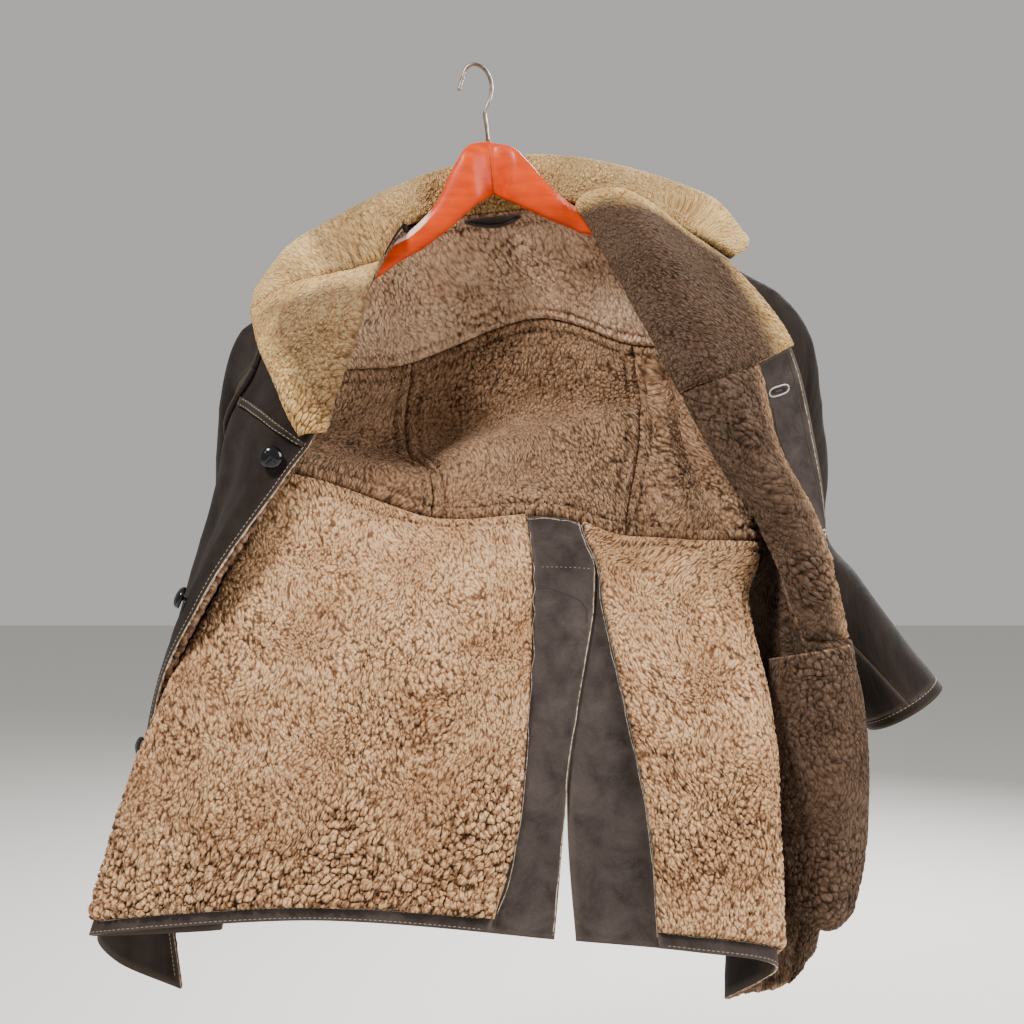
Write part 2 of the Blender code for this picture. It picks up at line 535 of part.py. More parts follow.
def collar(s, v):
    """The collar: s runs round the neck, v from the outer edge (0) down to the seam (3)."""
    s, v = np.broadcast_arrays(np.asarray(s, dtype=float), v)
    return sewn_on(COLLAR_NET, COLLAR_EDGE - v, s, neck_line(s))


def make_neck():
    """Right lapel, collar, and the suede patch inside the back neck with its hanging loop."""
    folded = (LOOSE, TURNED, LOOSE, LOOSE)
    panel("lapel_r", lapel_r, (level(0), level(LAPEL_ENDS), level(0), level(LAPEL_ENDS)), (5, 7), folded,
          COLLAR_WOOL)
    panel("collar", collar, (level(0), level(GORGE_L), level(0), level(COLLAR_EDGE)), (22, 6),
          (LOOSE, LOOSE, LOOSE, TURNED), COLLAR_WOOL)
    strip("neck_patch", body, (level(7.62), level(8.3), level(1.03), along(PATCH_FOOT)), (8, 2),
          shift=PATCH_OUT)
    station, down = np.array(LOOP).T
    out = PATCH_OUT + FACING + LOOP_RADIUS + 0.0006
    wire("neck_loop", body(station, down) + lean(body, station, down) * out, LOOP_RADIUS, SUEDE)


# station, level of the patch's round foot
PATCH_FOOT = ((7.62, 1.07), (7.75, 1.12), (7.97, 1.15), (8.18, 1.12), (8.3, 1.07))
# station, level of the hanging loop along it
LOOP = ((7.66, 1.06), (7.80, 1.10), (7.97, 1.115), (8.14, 1.10), (8.27, 1.06))
LOOP_RADIUS = 0.0013
PATCH_OUT = 0.0038 + FACING + 0.0014

# ---------------------------------------------------------------- sleeves

# Rings of each sleeve: centre, vector to its outer side, half its depth to the back.
SLEEVE_L = (
    ("upper arm", (29.8, 7.3, -32.0), (1.9, -2.6, 7.5), (-3.4, 4.6, -0.5)),
    ("arm",       (32.4, 11.4, -39.8), (4.6, -0.4, 2.4), (-0.6, 4.5, 1.0)),
    ("elbow",     (31.8, 12.6, -47.0), (5.6, 0.0, 0.3), (0.0, 4.5, 0.0)),
    ("forearm",   (35.8, 11.7, -54.4), (4.9, 0.0, 2.9), (0.0, 4.7, 0.0)),
    ("low",       (41.0, 10.2, -60.4), (4.1, 0.0, 2.5), (0.0, 4.8, 0.0)),
    ("cuff",      (45.2, 8.7, -65.2), (3.7, 0.0, 2.3), (0.0, 4.9, 0.0)),
)
SLEEVE_R = (
    ("upper arm", (-22.4, 7.4, -33.6), (-1.6, -2.6, 5.6), (2.2, 4.2, -0.2)),
    ("arm",       (-23.2, 11.8, -43.4), (-4.0, -0.4, 2.6), (1.6, 4.2, 0.9)),
    ("elbow",     (-21.8, 14.6, -53.5), (-5.0, 0.0, 0.0), (0.0, 4.3, 0.0)),
    ("forearm",   (-22.6, 15.0, -63.5), (-4.8, 0.0, 0.2), (0.0, 4.2, 0.0)),
    ("cuff",      (-24.2, 14.4, -75.0), (-4.5, 0.0, 0.4), (0.0, 4.2, 0.0)),
)
CUFF = 0.19              # height of the cuff band, in rings


def armhole(back, front, theta):
    """The armhole's edge: top at 0, back at a quarter turn, foot at a half, front at three quarters."""
    theta = np.mod(theta, 2 * pi)
    down = SHOULDER + (ARMHOLE_FOOT - SHOULDER) * (1 - np.cos(theta)) / 2
    station = np.where(theta < pi, line_at(down, back), line_at(down, front))
    edge = body(station, down)
    return edge - lean(body, station, down) * SLEEVE_OUT


def sleeve(rows, back, front, turn):
    """A tube lofted from the armhole through the rings; turn is +1 or -1, so that the wool is inside."""
    centres = placed([row[1] for row in rows])
    outer = np.array([row[2] for row in rows]) * CM
    deep = np.array([row[3] for row in rows]) * CM

    def place(u, v):
        u, v = np.broadcast_arrays(np.asarray(u, dtype=float), v)
        theta = turn * 2 * pi * u
        share = weights(v, len(rows) + 1)
        rings = centres[:, None, None] + np.cos(theta)[..., None] * outer[:, None, None]
        rings = rings + np.sin(theta)[..., None] * deep[:, None, None]
        hole = armhole(back, front, theta)
        return share[..., :1] * hole + np.einsum("...i,i...k->...k", share[..., 1:], rings)

    return place


def make_sleeve(side, rows, back, front, turn, down):
    """Top sleeve over the outer half, under sleeve over the inner, and a suede cuff band."""
    place = sleeve(rows, back, front, turn)
    end = len(rows)
    cuff = level(end - CUFF)
    length = (0.17, 0.55)
    top, under = (level(-0.25), level(0.25), level(0), cuff), (level(0.25), level(0.75), level(0), cuff)
    panel("sleeve_top_" + side, place, top, (7, down), pile=SLEEVE_PILE, span=length, crowd=1.5,
          pressed=ARMPIT)
    panel("sleeve_under_" + side, place, under, (7, down), pile=SLEEVE_PILE, span=length, crowd=1.5,
          pressed=ARMPIT)
    s, t = np.meshgrid(np.arange(16) / 16, np.linspace(end - CUFF + 0.003, end, 3))
    points, normals = place(s, t), lean(place, s, t)
    sew_shell("cuff_" + side, points, normals, np.full(s.shape, FACING), FACING, SUEDE, ring=True)


# ---------------------------------------------------------------- pocket bag

# Left edge, middle and right edge of the bag, from its mouth down.
POCKET = (
    ("mouth",  (29.8, 0.6, -59.4), (33.4, -1.53, -58.6), (37.0, -1.2, -57.9)),
    ("upper",  (29.6, 0.9, -64.6), (34.0, -1.2, -64.2), (38.5, -0.3, -63.6)),
    ("middle", (29.9, 0.4, -72.0), (34.8, -1.6, -71.6), (39.0, 0.2, -71.0)),
    ("lower",  (30.7, -0.2, -79.6), (35.1, -1.7, -79.2), (38.6, 0.2, -78.5)),
    ("foot",   (31.8, -0.8, -84.4), (34.8, -1.5, -85.8), (37.2, 0.0, -84.4)),
)
POCKET_NET = placed([row[1:] for row in POCKET]).transpose(1, 0, 2)


def pocket(u, v):
    """The pocket bag's back layer."""
    return surface(POCKET_NET, u, v)


# ---------------------------------------------------------------- buttons

# Profile of a shanked button: radius, height off the suede, in millimetres.
BUTTON = ((0, 0), (2.3, 0), (2.3, 4.0), (9.8, 4.4), (11.0, 6.0), (10.4, 8.2), (8.0, 10.2), (4.4, 11.5), (0, 12.0))
BUTTON_SIDES = 16
# station, level, how far the foot is set in from the smooth cloth (mm); a hand and a half apart
BUTTONS = ((1.50, 3.58, 0.0), (1.52, 5.02, 0.8), (1.50, 6.05, 1.4))


def make_buttons():
    """Three turned buttons, standing square off the right front's suede."""
    profile = np.array(BUTTON, dtype=float) / 1000
    angle = np.arange(BUTTON_SIDES) * 2 * pi / BUTTON_SIDES
    for number, (u, v, inset) in enumerate(BUTTONS, 1):
        out = -lean(body, np.array(u), np.array(v))
        foot = body(np.array(u), np.array(v)) + out * (HIDE - inset / 1000)
        side = np.cross(out, (0, 0, 1))
        side /= np.linalg.norm(side)
        up = np.cross(side, out)
        rim = np.cos(angle)[:, None] * side + np.sin(angle)[:, None] * up
        rings = foot + profile[:, 1, None, None] * out + profile[:, 0, None, None] * rim
        cells = np.arange(len(profile) * BUTTON_SIDES).reshape(-1, BUTTON_SIDES)
        cells = np.concatenate((cells, cells[:, :1]), axis=1)
        quads = np.stack((cells[:-1, :-1], cells[1:, :-1], cells[1:, 1:], cells[:-1, 1:]), axis=-1)
        solid("button_%d" % number, rings.reshape(-1, 3), quads.reshape(-1, 4).tolist(), HORN)


# ---------------------------------------------------------------- hanger

WIRE = 0.0018
# top edge x, z; bottom edge x, z; half thickness; from the middle out
ARM_R = (
    (1.26, -6.9, 1.87, -12.25, 0.75),
    (-0.7, -7.6, 0.5, -13.3, 0.75),
    (-2.2, -9.8, -0.9, -14.5, 0.75),
    (-4.2, -13.8, -2.8, -16.2, 0.70),
    (-7.2, -16.6, -5.8, -18.3, 0.62),
    (-10.6, -18.6, -9.5, -20.6, 0.55),
    (-14.0, -20.8, -12.9, -22.8, 0.50),
    (-17.2, -22.9, -16.2, -24.7, 0.45),
    (-18.4, -23.9, -18.0, -24.8, 0.30),
)
ARM_L = (
    (1.26, -6.9, 1.87, -12.25, 0.75),
    (3.6, -7.7, 3.4, -13.2, 0.75),
    (5.3, -9.2, 4.8, -13.9, 0.75),
    (8.0, -12.2, 7.2, -15.0, 0.70),
    (11.2, -14.3, 10.5, -16.2, 0.60),
    (14.7, -15.8, 14.0, -17.7, 0.52),
    (18.2, -17.3, 17.5, -19.2, 0.48),
    (21.2, -18.7, 20.5, -20.3, 0.42),
    (22.3, -19.3, 22.0, -20.2, 0.30),
)
ARM_SIDES = 12
SQUARENESS = 0.80        # exponent that squares off the arm's oval section
ARM_FORWARD = -0.0135    # the arms curve forward of the collar before they pass under the shoulders
HALF_JOINT = 0.00015


def wire(name, points, radius, finish):
    """A round wire along a smooth line through the points."""
    curve = bpy.data.curves.new(name, "CURVE")
    curve.dimensions = "3D"
    curve.bevel_depth = radius
    curve.bevel_resolution = 2
    curve.use_fill_caps = True
    way = weights(np.linspace(0, len(points) - 1, (len(points) - 1) * 4 + 1), len(points)) @ np.asarray(points)
    spline = curve.splines.new("POLY")
    spline.points.add(len(way) - 1)
    spline.points.foreach_set("co", np.column_stack((way, np.ones(len(way)))).ravel())
    curve.materials.append(finish)
    made = bpy.data.objects.new(name, curve)
    bpy.context.scene.collection.objects.link(made)
    return made


def shoulder_line(stations_along):
    """x, y, z of the shoulder seam at the given stations, ordered by x."""
    points = body(stations_along, np.full(stations_along.shape, float(SHOULDER)))
    return points[np.argsort(points[:, 0])]


def make_arm(name, rows, joint, seam, neck_x):
    """A beech arm: squared oval sections from the middle joint out; under the shoulder it meets the wool."""
    rows = np.array(rows)
    top = placed(np.column_stack((rows[:, 0], np.full(len(rows), HOOK[1]), rows[:, 1])))
    low = placed(np.column_stack((rows[:, 2], np.full(len(rows), HOOK[1]), rows[:, 3])))
    half = rows[:, 4] * CM
    fine = np.linspace(0, len(rows) - 1, (len(rows) - 1) * 2 + 1)
    share = weights(fine, len(rows))
    top, low, half = share @ top, share @ low, share @ half
    under = np.abs(top[:, 0] - joint) > abs(neck_x - joint)
    ridge_y = np.interp(top[:, 0], seam[:, 0], seam[:, 1])
    out = np.abs(top[:, 0] - joint)
    back = smooth((out - 0.06) / 0.035)
    bend = ARM_FORWARD * smooth(out / 0.03) * (1 - back) + back * ridge_y
    ridge_z = np.interp(top[:, 0], seam[:, 0], seam[:, 2]) - SEAT
    sink = np.where(under, ridge_z - top[:, 2], 0.0)
    sink[-2:] = sink[-3]
    top[:, 2] += sink
    low[:, 2] += sink
    top[:, 1] += bend
    low[:, 1] += bend
    middle, rise = (top + low) / 2, (top - low) / 2
    angle = np.arange(ARM_SIDES) * 2 * pi / ARM_SIDES
    squared = np.sign(np.cos(angle)) * np.abs(np.cos(angle)) ** SQUARENESS
    flat = np.sign(np.sin(angle)) * np.abs(np.sin(angle)) ** SQUARENESS
    rings = middle[:, None] + squared[None, :, None] * rise[:, None]
    rings = rings + flat[None, :, None] * half[:, None, None] * np.array((0, 1, 0))
    rings[0, :, 0] += np.sign(top[-1, 0] - joint) * HALF_JOINT
    cells = np.arange(rings.shape[0] * ARM_SIDES).reshape(-1, ARM_SIDES)
    wrap = np.concatenate((cells, cells[:, :1]), axis=1)
    quads = np.stack((wrap[:-1, :-1], wrap[1:, :-1], wrap[1:, 1:], wrap[:-1, 1:]), axis=-1).reshape(-1, 4)
    solid(name, rings.reshape(-1, 3), quads.tolist() + [cells[0].tolist(), cells[-1].tolist()], LACQUER)


def make_hanger():
    """Two lacquered beech arms that meet in the middle, and a bent steel hook."""
    joint = placed((1.5, 0, 0))[0]
    right = shoulder_line(np.linspace(B_RIGHT, R_TUCK, 40))
    left = shoulder_line(np.linspace(B_LEFT, L_TUCK, 40))
    make_arm("hanger_arm_r", ARM_R, joint, right, placed((-7.0, 0, 0))[0])
    make_arm("hanger_arm_l", ARM_L, joint, left, placed((11.0, 0, 0))[0])
    bends = ((-1.69, -1.67), (-1.28, -0.25), (-0.88, 0.62), (-0.06, 0.95), (0.98, 0.36), (1.58, -0.96),
             (1.50, -2.38), (1.05, -3.6), (0.93, -4.2), (1.1, -5.4), (1.26, -6.85))
    wire("hanger_hook", placed([(x, HOOK[1], z) for x, z in bends]), WIRE, STEEL)


VENT_DEEP = -0.0035      # the left vent facing lies behind the right one
YOKE_BAND_OUT = HIDE + FACING + 0.0016
SLEEVE_OUT = HIDE + 0.0042
SLEEVE_PILE = 0.0045
ARMPIT = 0.14            # width below the armhole over which the sleeve's wool rises
SEAT = SEAM_PILE + 0.0030

make_back()
make_right_front()
make_left_front()
make_neck()
make_sleeve("l", SLEEVE_L, L_SIDE_OF_BACK, L_SIDE_OF_FRONT, -1, 12)
make_sleeve("r", SLEEVE_R, R_SIDE_OF_BACK, R_SIDE_OF_FRONT, 1, 12)
panel("pocket_bag_l", pocket, (level(0), level(2), level(0), level(4)), (5, 8), ALL_LOOSE, pile=0.013)
make_buttons()
make_hanger()
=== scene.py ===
# %% [markdown]
# # A shearling coat on a wooden hanger
# A shearling coat is one material with two faces: suede outside and the sheep's wool inside. This coat
# hangs open, so nearly all that shows is wool. Metres, +Z up, X to the right, +Y away from the open
# fronts; the origin is the inside of the hook's top. Sides are the wearer's, so `_r` pieces lie at -X.
#
# Every cloth piece is made twice from one smooth surface: a thin hide with a suede face, and a separate
# mesh for its wool.

# %% Load the frame
from math import pi
import bpy
import numpy as np
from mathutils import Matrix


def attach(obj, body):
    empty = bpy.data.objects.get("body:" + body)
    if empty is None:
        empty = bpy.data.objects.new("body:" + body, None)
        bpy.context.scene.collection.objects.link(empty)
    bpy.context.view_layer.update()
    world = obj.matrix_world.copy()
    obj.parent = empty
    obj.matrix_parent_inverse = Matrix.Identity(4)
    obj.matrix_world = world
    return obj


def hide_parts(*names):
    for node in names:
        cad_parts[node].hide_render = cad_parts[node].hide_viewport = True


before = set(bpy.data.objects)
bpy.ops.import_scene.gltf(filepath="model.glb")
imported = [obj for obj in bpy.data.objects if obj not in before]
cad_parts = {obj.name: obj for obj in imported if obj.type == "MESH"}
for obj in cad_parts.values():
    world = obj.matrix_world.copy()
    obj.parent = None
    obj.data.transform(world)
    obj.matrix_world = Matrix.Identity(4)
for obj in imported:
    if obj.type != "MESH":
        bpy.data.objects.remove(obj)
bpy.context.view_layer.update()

# %% [markdown]
# ## The coat's surfaces
# A hanging coat has few true shapes: a long wave of cloth from front edge to front edge, a turned left
# front, a collar, a lapel and two sleeves. Each is a short table of points, stations round the coat by
# levels down it, in centimetres of the pattern's own frame, and a Catmull-Rom patch runs smoothly through
# them. The solids were made from the same tables, so the cloth here has the same form, only finer.
# Scanning or simulating such a drape is possible too, but a table keeps each fold where it is wanted.

# %% Smooth patches through a table
CM = 0.01
HOOK = np.array((-0.06, 2.6, 0.77))   # the hook's inside top in the tables' frame, cm


def weights(t, count):
    """Catmull-Rom shares: entry [..., i] is how much of point i is in the curve at t, point 0 being t = 0."""
    t = np.asarray(t, dtype=float)
    start = np.clip(np.floor(t), 0, count - 2).astype(int)
    f = t - start
    share = (
        (-f + 2 * f**2 - f**3) / 2,
        (2 - 5 * f**2 + 3 * f**3) / 2,
        (f + 4 * f**2 - 3 * f**3) / 2,
        (-f**2 + f**3) / 2,
    )
    made = np.zeros(t.shape + (count + 2,))
    for step, part in enumerate(share):
        np.put_along_axis(made, (start + step)[..., None], part[..., None], -1)
    made[..., 1] += 2 * made[..., 0]
    made[..., 2] -= made[..., 0]
    made[..., -2] += 2 * made[..., -1]
    made[..., -3] -= made[..., -1]
    return made[..., 1:-1]


def surface(table, u, v):
    """P(u, v) = sum of w_i(u) w_j(v) table[i, j]."""
    u, v = np.broadcast_arrays(u, v)
    rows = (weights(u, len(table)) @ table.reshape(len(table), -1)).reshape(u.shape + table.shape[1:])
    return np.einsum("...jk,...j->...k", rows, weights(v, table.shape[1]))


def line_at(place, rows):
    """Height of the smooth line through (place, height) rows, read at the given places."""
    dense = weights(np.linspace(0, len(rows) - 1, 240), len(rows)) @ np.array(rows, dtype=float)
    return np.interp(place, dense[:, 0], dense[:, 1])


def placed(rows):
    """Table points to metres in the coat's frame."""
    return (np.array(rows, dtype=float) - HOOK) * CM


def patch(table):
    """The surface through one table, as a function of u and v."""
    return lambda u, v: surface(table, u, v)


def unit(v):
    """Vectors cut or stretched to length one."""
    return v / np.linalg.norm(v, axis=-1, keepdims=True)

# %% [markdown]
# ## The body of the coat
# The body is one net from the right front's edge, round the back, to the fold of the left front. Only the
# back's stations from `b_right` to `b_left` face the viewer squarely; the skirt swells forward below the
# waist. The left front is folded open, and what is turned out from its fold is a net of its own.

# %% The body's tables
OVER, SHOULDER, YOKE, CHEST, WAIST, HEM = 0, 1, 2, 3, 4, 7         # levels
R_EDGE, R_TUCK, B_RIGHT, B_CENTRE, B_LEFT = 1, 5, 7, 8, 9          # stations
L_TUCK, L_CHEST, L_FOLD, L_BEYOND = 11, 14, 15, 16
# station        shoulder             yoke seam              chest
UPPER = (
    ("r_edge",  (-7.0, 2.0, -16.0), (-12.2, -5.4, -27.6), (-15.0, -7.0, -37.0)),
    ("r_chest", (-13.8, 2.0, -20.4), (-17.0, -5.2, -28.5), (-20.3, -6.2, -36.6)),
    ("r_side",  (-20.6, 1.8, -24.9), (-21.8, -1.5, -29.5), (-24.4, -1.5, -36.5)),
    ("r_back",  (-22.8, 1.6, -26.4), (-22.8, 2.5, -29.8), (-23.5, 3.0, -36.5)),
    ("r_tuck",  (-20.6, 1.8, -24.9), (-19.8, 6.0, -29.8), (-19.8, 6.0, -36.3)),
    ("r_crest", (-13.8, 2.0, -20.4), (-13.8, 8.0, -29.5), (-15.0, 7.5, -36.3)),
    ("b_right", (-7.0, 2.0, -16.0), (-7.1, 10.0, -28.6), (-7.7, 10.0, -35.9)),
    ("b_centre", (1.9, 5.0, -13.6), (6.2, 11.5, -23.7), (5.5, 12.0, -35.5)),
    ("b_left",  (11.0, 2.0, -13.9), (16.6, 10.0, -26.6), (17.5, 10.0, -35.9)),
    ("l_crest", (18.2, 2.0, -17.0), (22.3, 8.0, -27.0), (23.0, 8.0, -36.2)),
    ("l_tuck",  (25.4, 1.8, -20.1), (26.2, 5.5, -27.2), (27.0, 6.0, -36.5)),
    ("l_back",  (27.8, 1.6, -21.2), (28.8, 2.0, -27.5), (30.0, 4.6, -36.8)),
    ("l_side",  (25.4, 1.8, -20.1), (27.6, -1.3, -27.5), (31.1, 0.8, -37.0)),
    ("l_chest", (18.2, 2.0, -17.0), (23.2, -2.6, -27.8), (27.4, -1.6, -37.2)),
    ("l_fold",  (11.0, 2.0, -13.9), (18.3, -4.0, -28.4), (23.4, -3.2, -38.0)),
)
# station        waist seam            hip                    skirt                  hem
LOWER = (
    ("r_edge",  (-17.9, -8.0, -41.6), (-25.4, -9.0, -52.9), (-31.0, -5.0, -66.5), (-29.2, -0.8, -92.0)),
    ("r_chest", (-22.6, -5.5, -42.0), (-28.0, -4.0, -53.0), (-32.6, -0.8, -67.0), (-35.5, -0.6, -89.4)),
    ("r_side",  (-25.8, -0.5, -42.5), (-28.9, 1.0, -53.3), (-32.3, 4.0, -67.3), (-38.0, 2.0, -87.3)),
    ("r_back",  (-24.0, 3.5, -42.5), (-26.0, 4.5, -53.3), (-28.0, 6.5, -67.3), (-33.0, 5.5, -87.0)),
    ("r_tuck",  (-20.5, 3.5, -42.0), (-21.5, 1.5, -53.0), (-23.0, 2.5, -67.0), (-25.6, 0.5, -86.5)),
    ("r_crest", (-17.6, -3.0, -41.5), (-23.6, -5.0, -52.8), (-30.1, -8.0, -66.0), (-35.5, -10.4, -84.0)),
    ("b_right", (-4.7, 1.0, -45.5), (-9.1, -5.0, -53.1), (-11.4, -9.5, -65.9), (-14.0, -12.0, -82.1)),
    ("b_centre", (7.7, 2.0, -45.1), (9.4, -2.0, -53.3), (9.5, -7.0, -66.3), (8.7, -10.0, -84.6)),
    ("b_left",  (15.3, 2.0, -47.3), (18.5, -1.0, -53.4), (19.8, -6.0, -66.0), (20.3, -10.5, -85.5)),
    ("l_crest", (26.3, 2.0, -47.7), (25.6, 0.0, -53.4), (28.3, -4.6, -66.5), (28.6, -8.8, -87.4)),
    ("l_tuck",  (28.6, 5.4, -47.5), (28.0, 4.5, -53.6), (26.3, 1.0, -67.5), (24.8, -3.0, -92.2)),
    ("l_back",  (31.6, 6.4, -47.5), (30.8, 6.0, -53.6), (29.3, 4.0, -68.0), (26.3, 0.0, -92.8)),
    ("l_side",  (33.6, 3.9, -47.0), (32.6, 4.6, -53.6), (32.3, 4.0, -68.0), (28.3, 0.6, -92.7)),
    ("l_chest", (32.4, 0.6, -46.5), (32.8, 2.0, -53.5), (34.2, 3.2, -68.0), (30.0, 0.8, -92.5)),
    ("l_fold",  (28.4, -2.0, -45.5), (31.8, -0.6, -53.3), (35.7, 2.6, -68.0), (31.5, 1.0, -91.8)),
)
# The inside of the left front, turned to the right from its fold: the lapel, the wool strip and the facing.
# station       shoulder             yoke                   chest                  waist
FACE_UPPER = (
    ("l_mid",  (14.2, -2.8, -13.3), (22.3, -6.6, -28.3), (26.4, -6.0, -38.0), (30.7, -4.2, -45.5)),
    ("l_roll", (20.0, -3.2, -17.2), (26.6, -5.4, -28.2), (29.6, -4.0, -38.3), (33.5, -2.4, -45.5)),
    ("l_edge", (24.2, -3.3, -19.8), (30.6, -3.7, -28.0), (33.6, -2.0, -38.0), (34.9, -0.4, -45.7)),
)
# station       hip                    skirt                 hem
FACE_LOWER = (
    ("l_mid",  (33.6, -2.2, -53.3), (37.2, 2.3, -68.0), (32.6, 1.3, -90.5)),
    ("l_roll", (35.9, -0.8, -53.3), (38.6, 2.8, -68.0), (33.6, 2.0, -88.5)),
    ("l_edge", (35.4, 2.4, -53.3), (37.6, 5.4, -68.0), (32.6, 4.5, -87.0)),
)

FOLD_LIFT = np.array((-0.001, -0.004, 0.001))   # the lapel's fold stands this much proud of the hidden yoke
FACE_ARCH = (0.8, 0.4, 0.0)   # how far mid, roll and edge arch over the shoulder as the fold does

# Folds: a ridge (+) or trough (-) of the cloth between two places, in stations and levels, sizes in cm.
# name             from u, v     to u, v      height  width  bend
FOLDS = (
    ("hollow lip",  6.7, 3.80,   8.9, 3.05,    2.0,   2.6,   1.2),
    ("hollow",      6.9, 3.30,   8.6, 2.70,   -1.3,   3.4,   0.6),
    ("left valley", 9.5, 2.40,   9.8, 3.70,   -1.0,   2.0,   0.0),
    ("left ridge",  9.2, 2.30,   9.4, 3.60,    0.9,   1.6,   0.4),
    ("hip drape r", 6.3, 4.20,   7.2, 5.60,    0.7,   3.0,   0.8),
    ("hip drape l", 9.3, 4.30,   9.6, 6.20,    0.6,   2.2,   0.5),
    ("skirt swell", 6.9, 5.30,   7.1, 6.90,    0.8,   4.5,   0.0),
    ("front r 1",   1.6, 3.00,   1.4, 5.20,   -0.5,   1.8,   0.4),
    ("front r 2",   2.6, 2.40,   2.3, 5.80,    0.5,   2.4,  -0.5),
    ("front l 1",  12.8, 3.20,  12.9, 5.80,    0.5,   2.2,   0.4),
)
STATION_CM, LEVEL_CM = 9.0, 12.0    # how far apart stations and levels count as
FADE = 1.5                          # widths over which a fold fades out past its ends

# %% The body and the left front's turned inside
def stations(upper, lower):
    """Join the two halves of a table into [station, level, xyz], in metres."""
    return placed([top[1:] + bottom[1:] for top, bottom in zip(upper, lower)])


def body_table():
    """The body's net, with the row over the shoulder and the columns beyond each edge that steer its ends."""
    cloth, face = stations(UPPER, LOWER), stations(FACE_UPPER, FACE_LOWER)
    beyond_r, beyond_l = 2 * cloth[0] - cloth[1], face[0].copy()
    beyond_r[0] = beyond_l[0] = cloth[B_CENTRE - 1, 0]
    cloth = np.concatenate((beyond_r[None], cloth, beyond_l[None]))
    partner = np.arange(L_BEYOND + 1)
    for span in (slice(R_EDGE, B_RIGHT + 1), slice(B_LEFT, L_FOLD + 1)):
        partner[span] = partner[span][::-1].copy()
    over = cloth[partner, 1].copy()
    over[B_CENTRE] = placed((1.9, 4.5, -8.0))
    return np.concatenate((over[:, None], cloth), axis=1)


BODY = body_table()
plain_body = patch(BODY)


def lean(place, u, v):
    """Unit vector off the cloth on its wool side: slope down the coat crossed with slope round it."""
    step = 0.002
    across = place(u + step, v) - place(u - step, v)
    down = place(u, v + step) - place(u, v - step)
    return unit(np.cross(down, across))


def face_table():
    """The net of the left front's turned inside: chest (steering only), fold, mid, roll, edge."""
    own = stations(FACE_UPPER, FACE_LOWER)
    arch = np.array(FACE_ARCH)[:, None, None]
    along_fold = BODY[L_FOLD, OVER] - BODY[L_FOLD, SHOULDER]
    over = own[:, :1] + arch * along_fold + (1 - arch) * (own[:, :1] - own[:, 1:2])
    hidden = BODY[L_CHEST:L_FOLD + 1].copy()
    hidden[1, :CHEST] += FOLD_LIFT
    return np.concatenate((hidden, np.concatenate((over, own), axis=1)))


left_face = patch(face_table())
F_FOLD, F_ROLL, F_EDGE = 1, 3, 4    # its stations


def fold_rise(u, v):
    """Sum of the folds: height * exp(-(distance across / width)^2), fading out smoothly past both ends."""
    rise = np.zeros(np.broadcast(u, v).shape)
    for _, u0, v0, u1, v1, height, width, bend in FOLDS:
        run = np.array(((u1 - u0) * STATION_CM, (v1 - v0) * LEVEL_CM))
        length = np.hypot(*run)
        du = (u - u0) * STATION_CM
        dv = (v - v0) * LEVEL_CM
        along = (du * run[0] + dv * run[1]) / length**2
        off = (du * run[1] - dv * run[0]) / length - bend * np.sin(pi * np.clip(along, 0, 1))
        past = (np.abs(along - 0.5) - 0.5).clip(0) * length
        rise += height * CM * np.exp(-(off / width)**2 - (past / (FADE * width))**2)
    return rise


def body(u, v):
    """The body's cloth, folds and all."""
    u, v = np.broadcast_arrays(np.asarray(u, dtype=float), v)
    return plain_body(u, v) + lean(plain_body, u, v) * fold_rise(u, v)[..., None]

# %% [markdown]
# ## Seams, as lines on the body
# A cut piece ends where its seams are. Each seam is a short list of stations by level, so two neighbours
# share it.

# %% Seam lines
ARMHOLE_FOOT = 3.35
# level, station of the cloth's edge: round the armhole, then down the side seam, which back and front share
R_SIDE_SEAM = ((3.35, 4.15), (3.42, 4.19), (4.0, 4.6), (5.0, 5.5), (6.0, 5.8), (7.0, 5.85))
L_SIDE_SEAM = ((3.35, 11.9), (3.42, 11.83), (4.0, 11.2), (5.0, 10.4), (6.0, 10.3), (7.0, 10.3))
R_SIDE_OF_BACK = ((1.0, 5.0), (1.5, 5.2), (2.1, 5.25), (2.7, 5.12), (3.05, 4.88), (3.25, 4.59),
                  (3.33, 4.35)) + R_SIDE_SEAM
R_SIDE_OF_FRONT = ((1.0, 3.0), (1.5, 2.8), (2.1, 2.78), (2.7, 3.05), (3.05, 3.40), (3.25, 3.71),
                   (3.33, 3.95)) + R_SIDE_SEAM
L_SIDE_OF_BACK = ((1.0, 11.0), (1.5, 10.8), (2.1, 10.75), (2.7, 10.9), (3.05, 11.15), (3.25, 11.45),
                  (3.33, 11.69)) + L_SIDE_SEAM
L_SIDE_OF_FRONT = ((1.0, 13.0), (1.5, 13.2), (2.1, 13.25), (2.7, 13.0), (3.05, 12.65), (3.25, 12.35),
                   (3.33, 12.11)) + L_SIDE_SEAM
# station, level of the front yoke seams
R_YOKE_SEAM = ((1.0, 3.30), (1.6, 3.02), (2.0, 2.86), (2.4, 2.73), (2.8, 2.62), (3.4, 2.50))
L_YOKE_SEAM = ((12.5, 2.55), (14.0, 2.85), (15.0, 3.0))
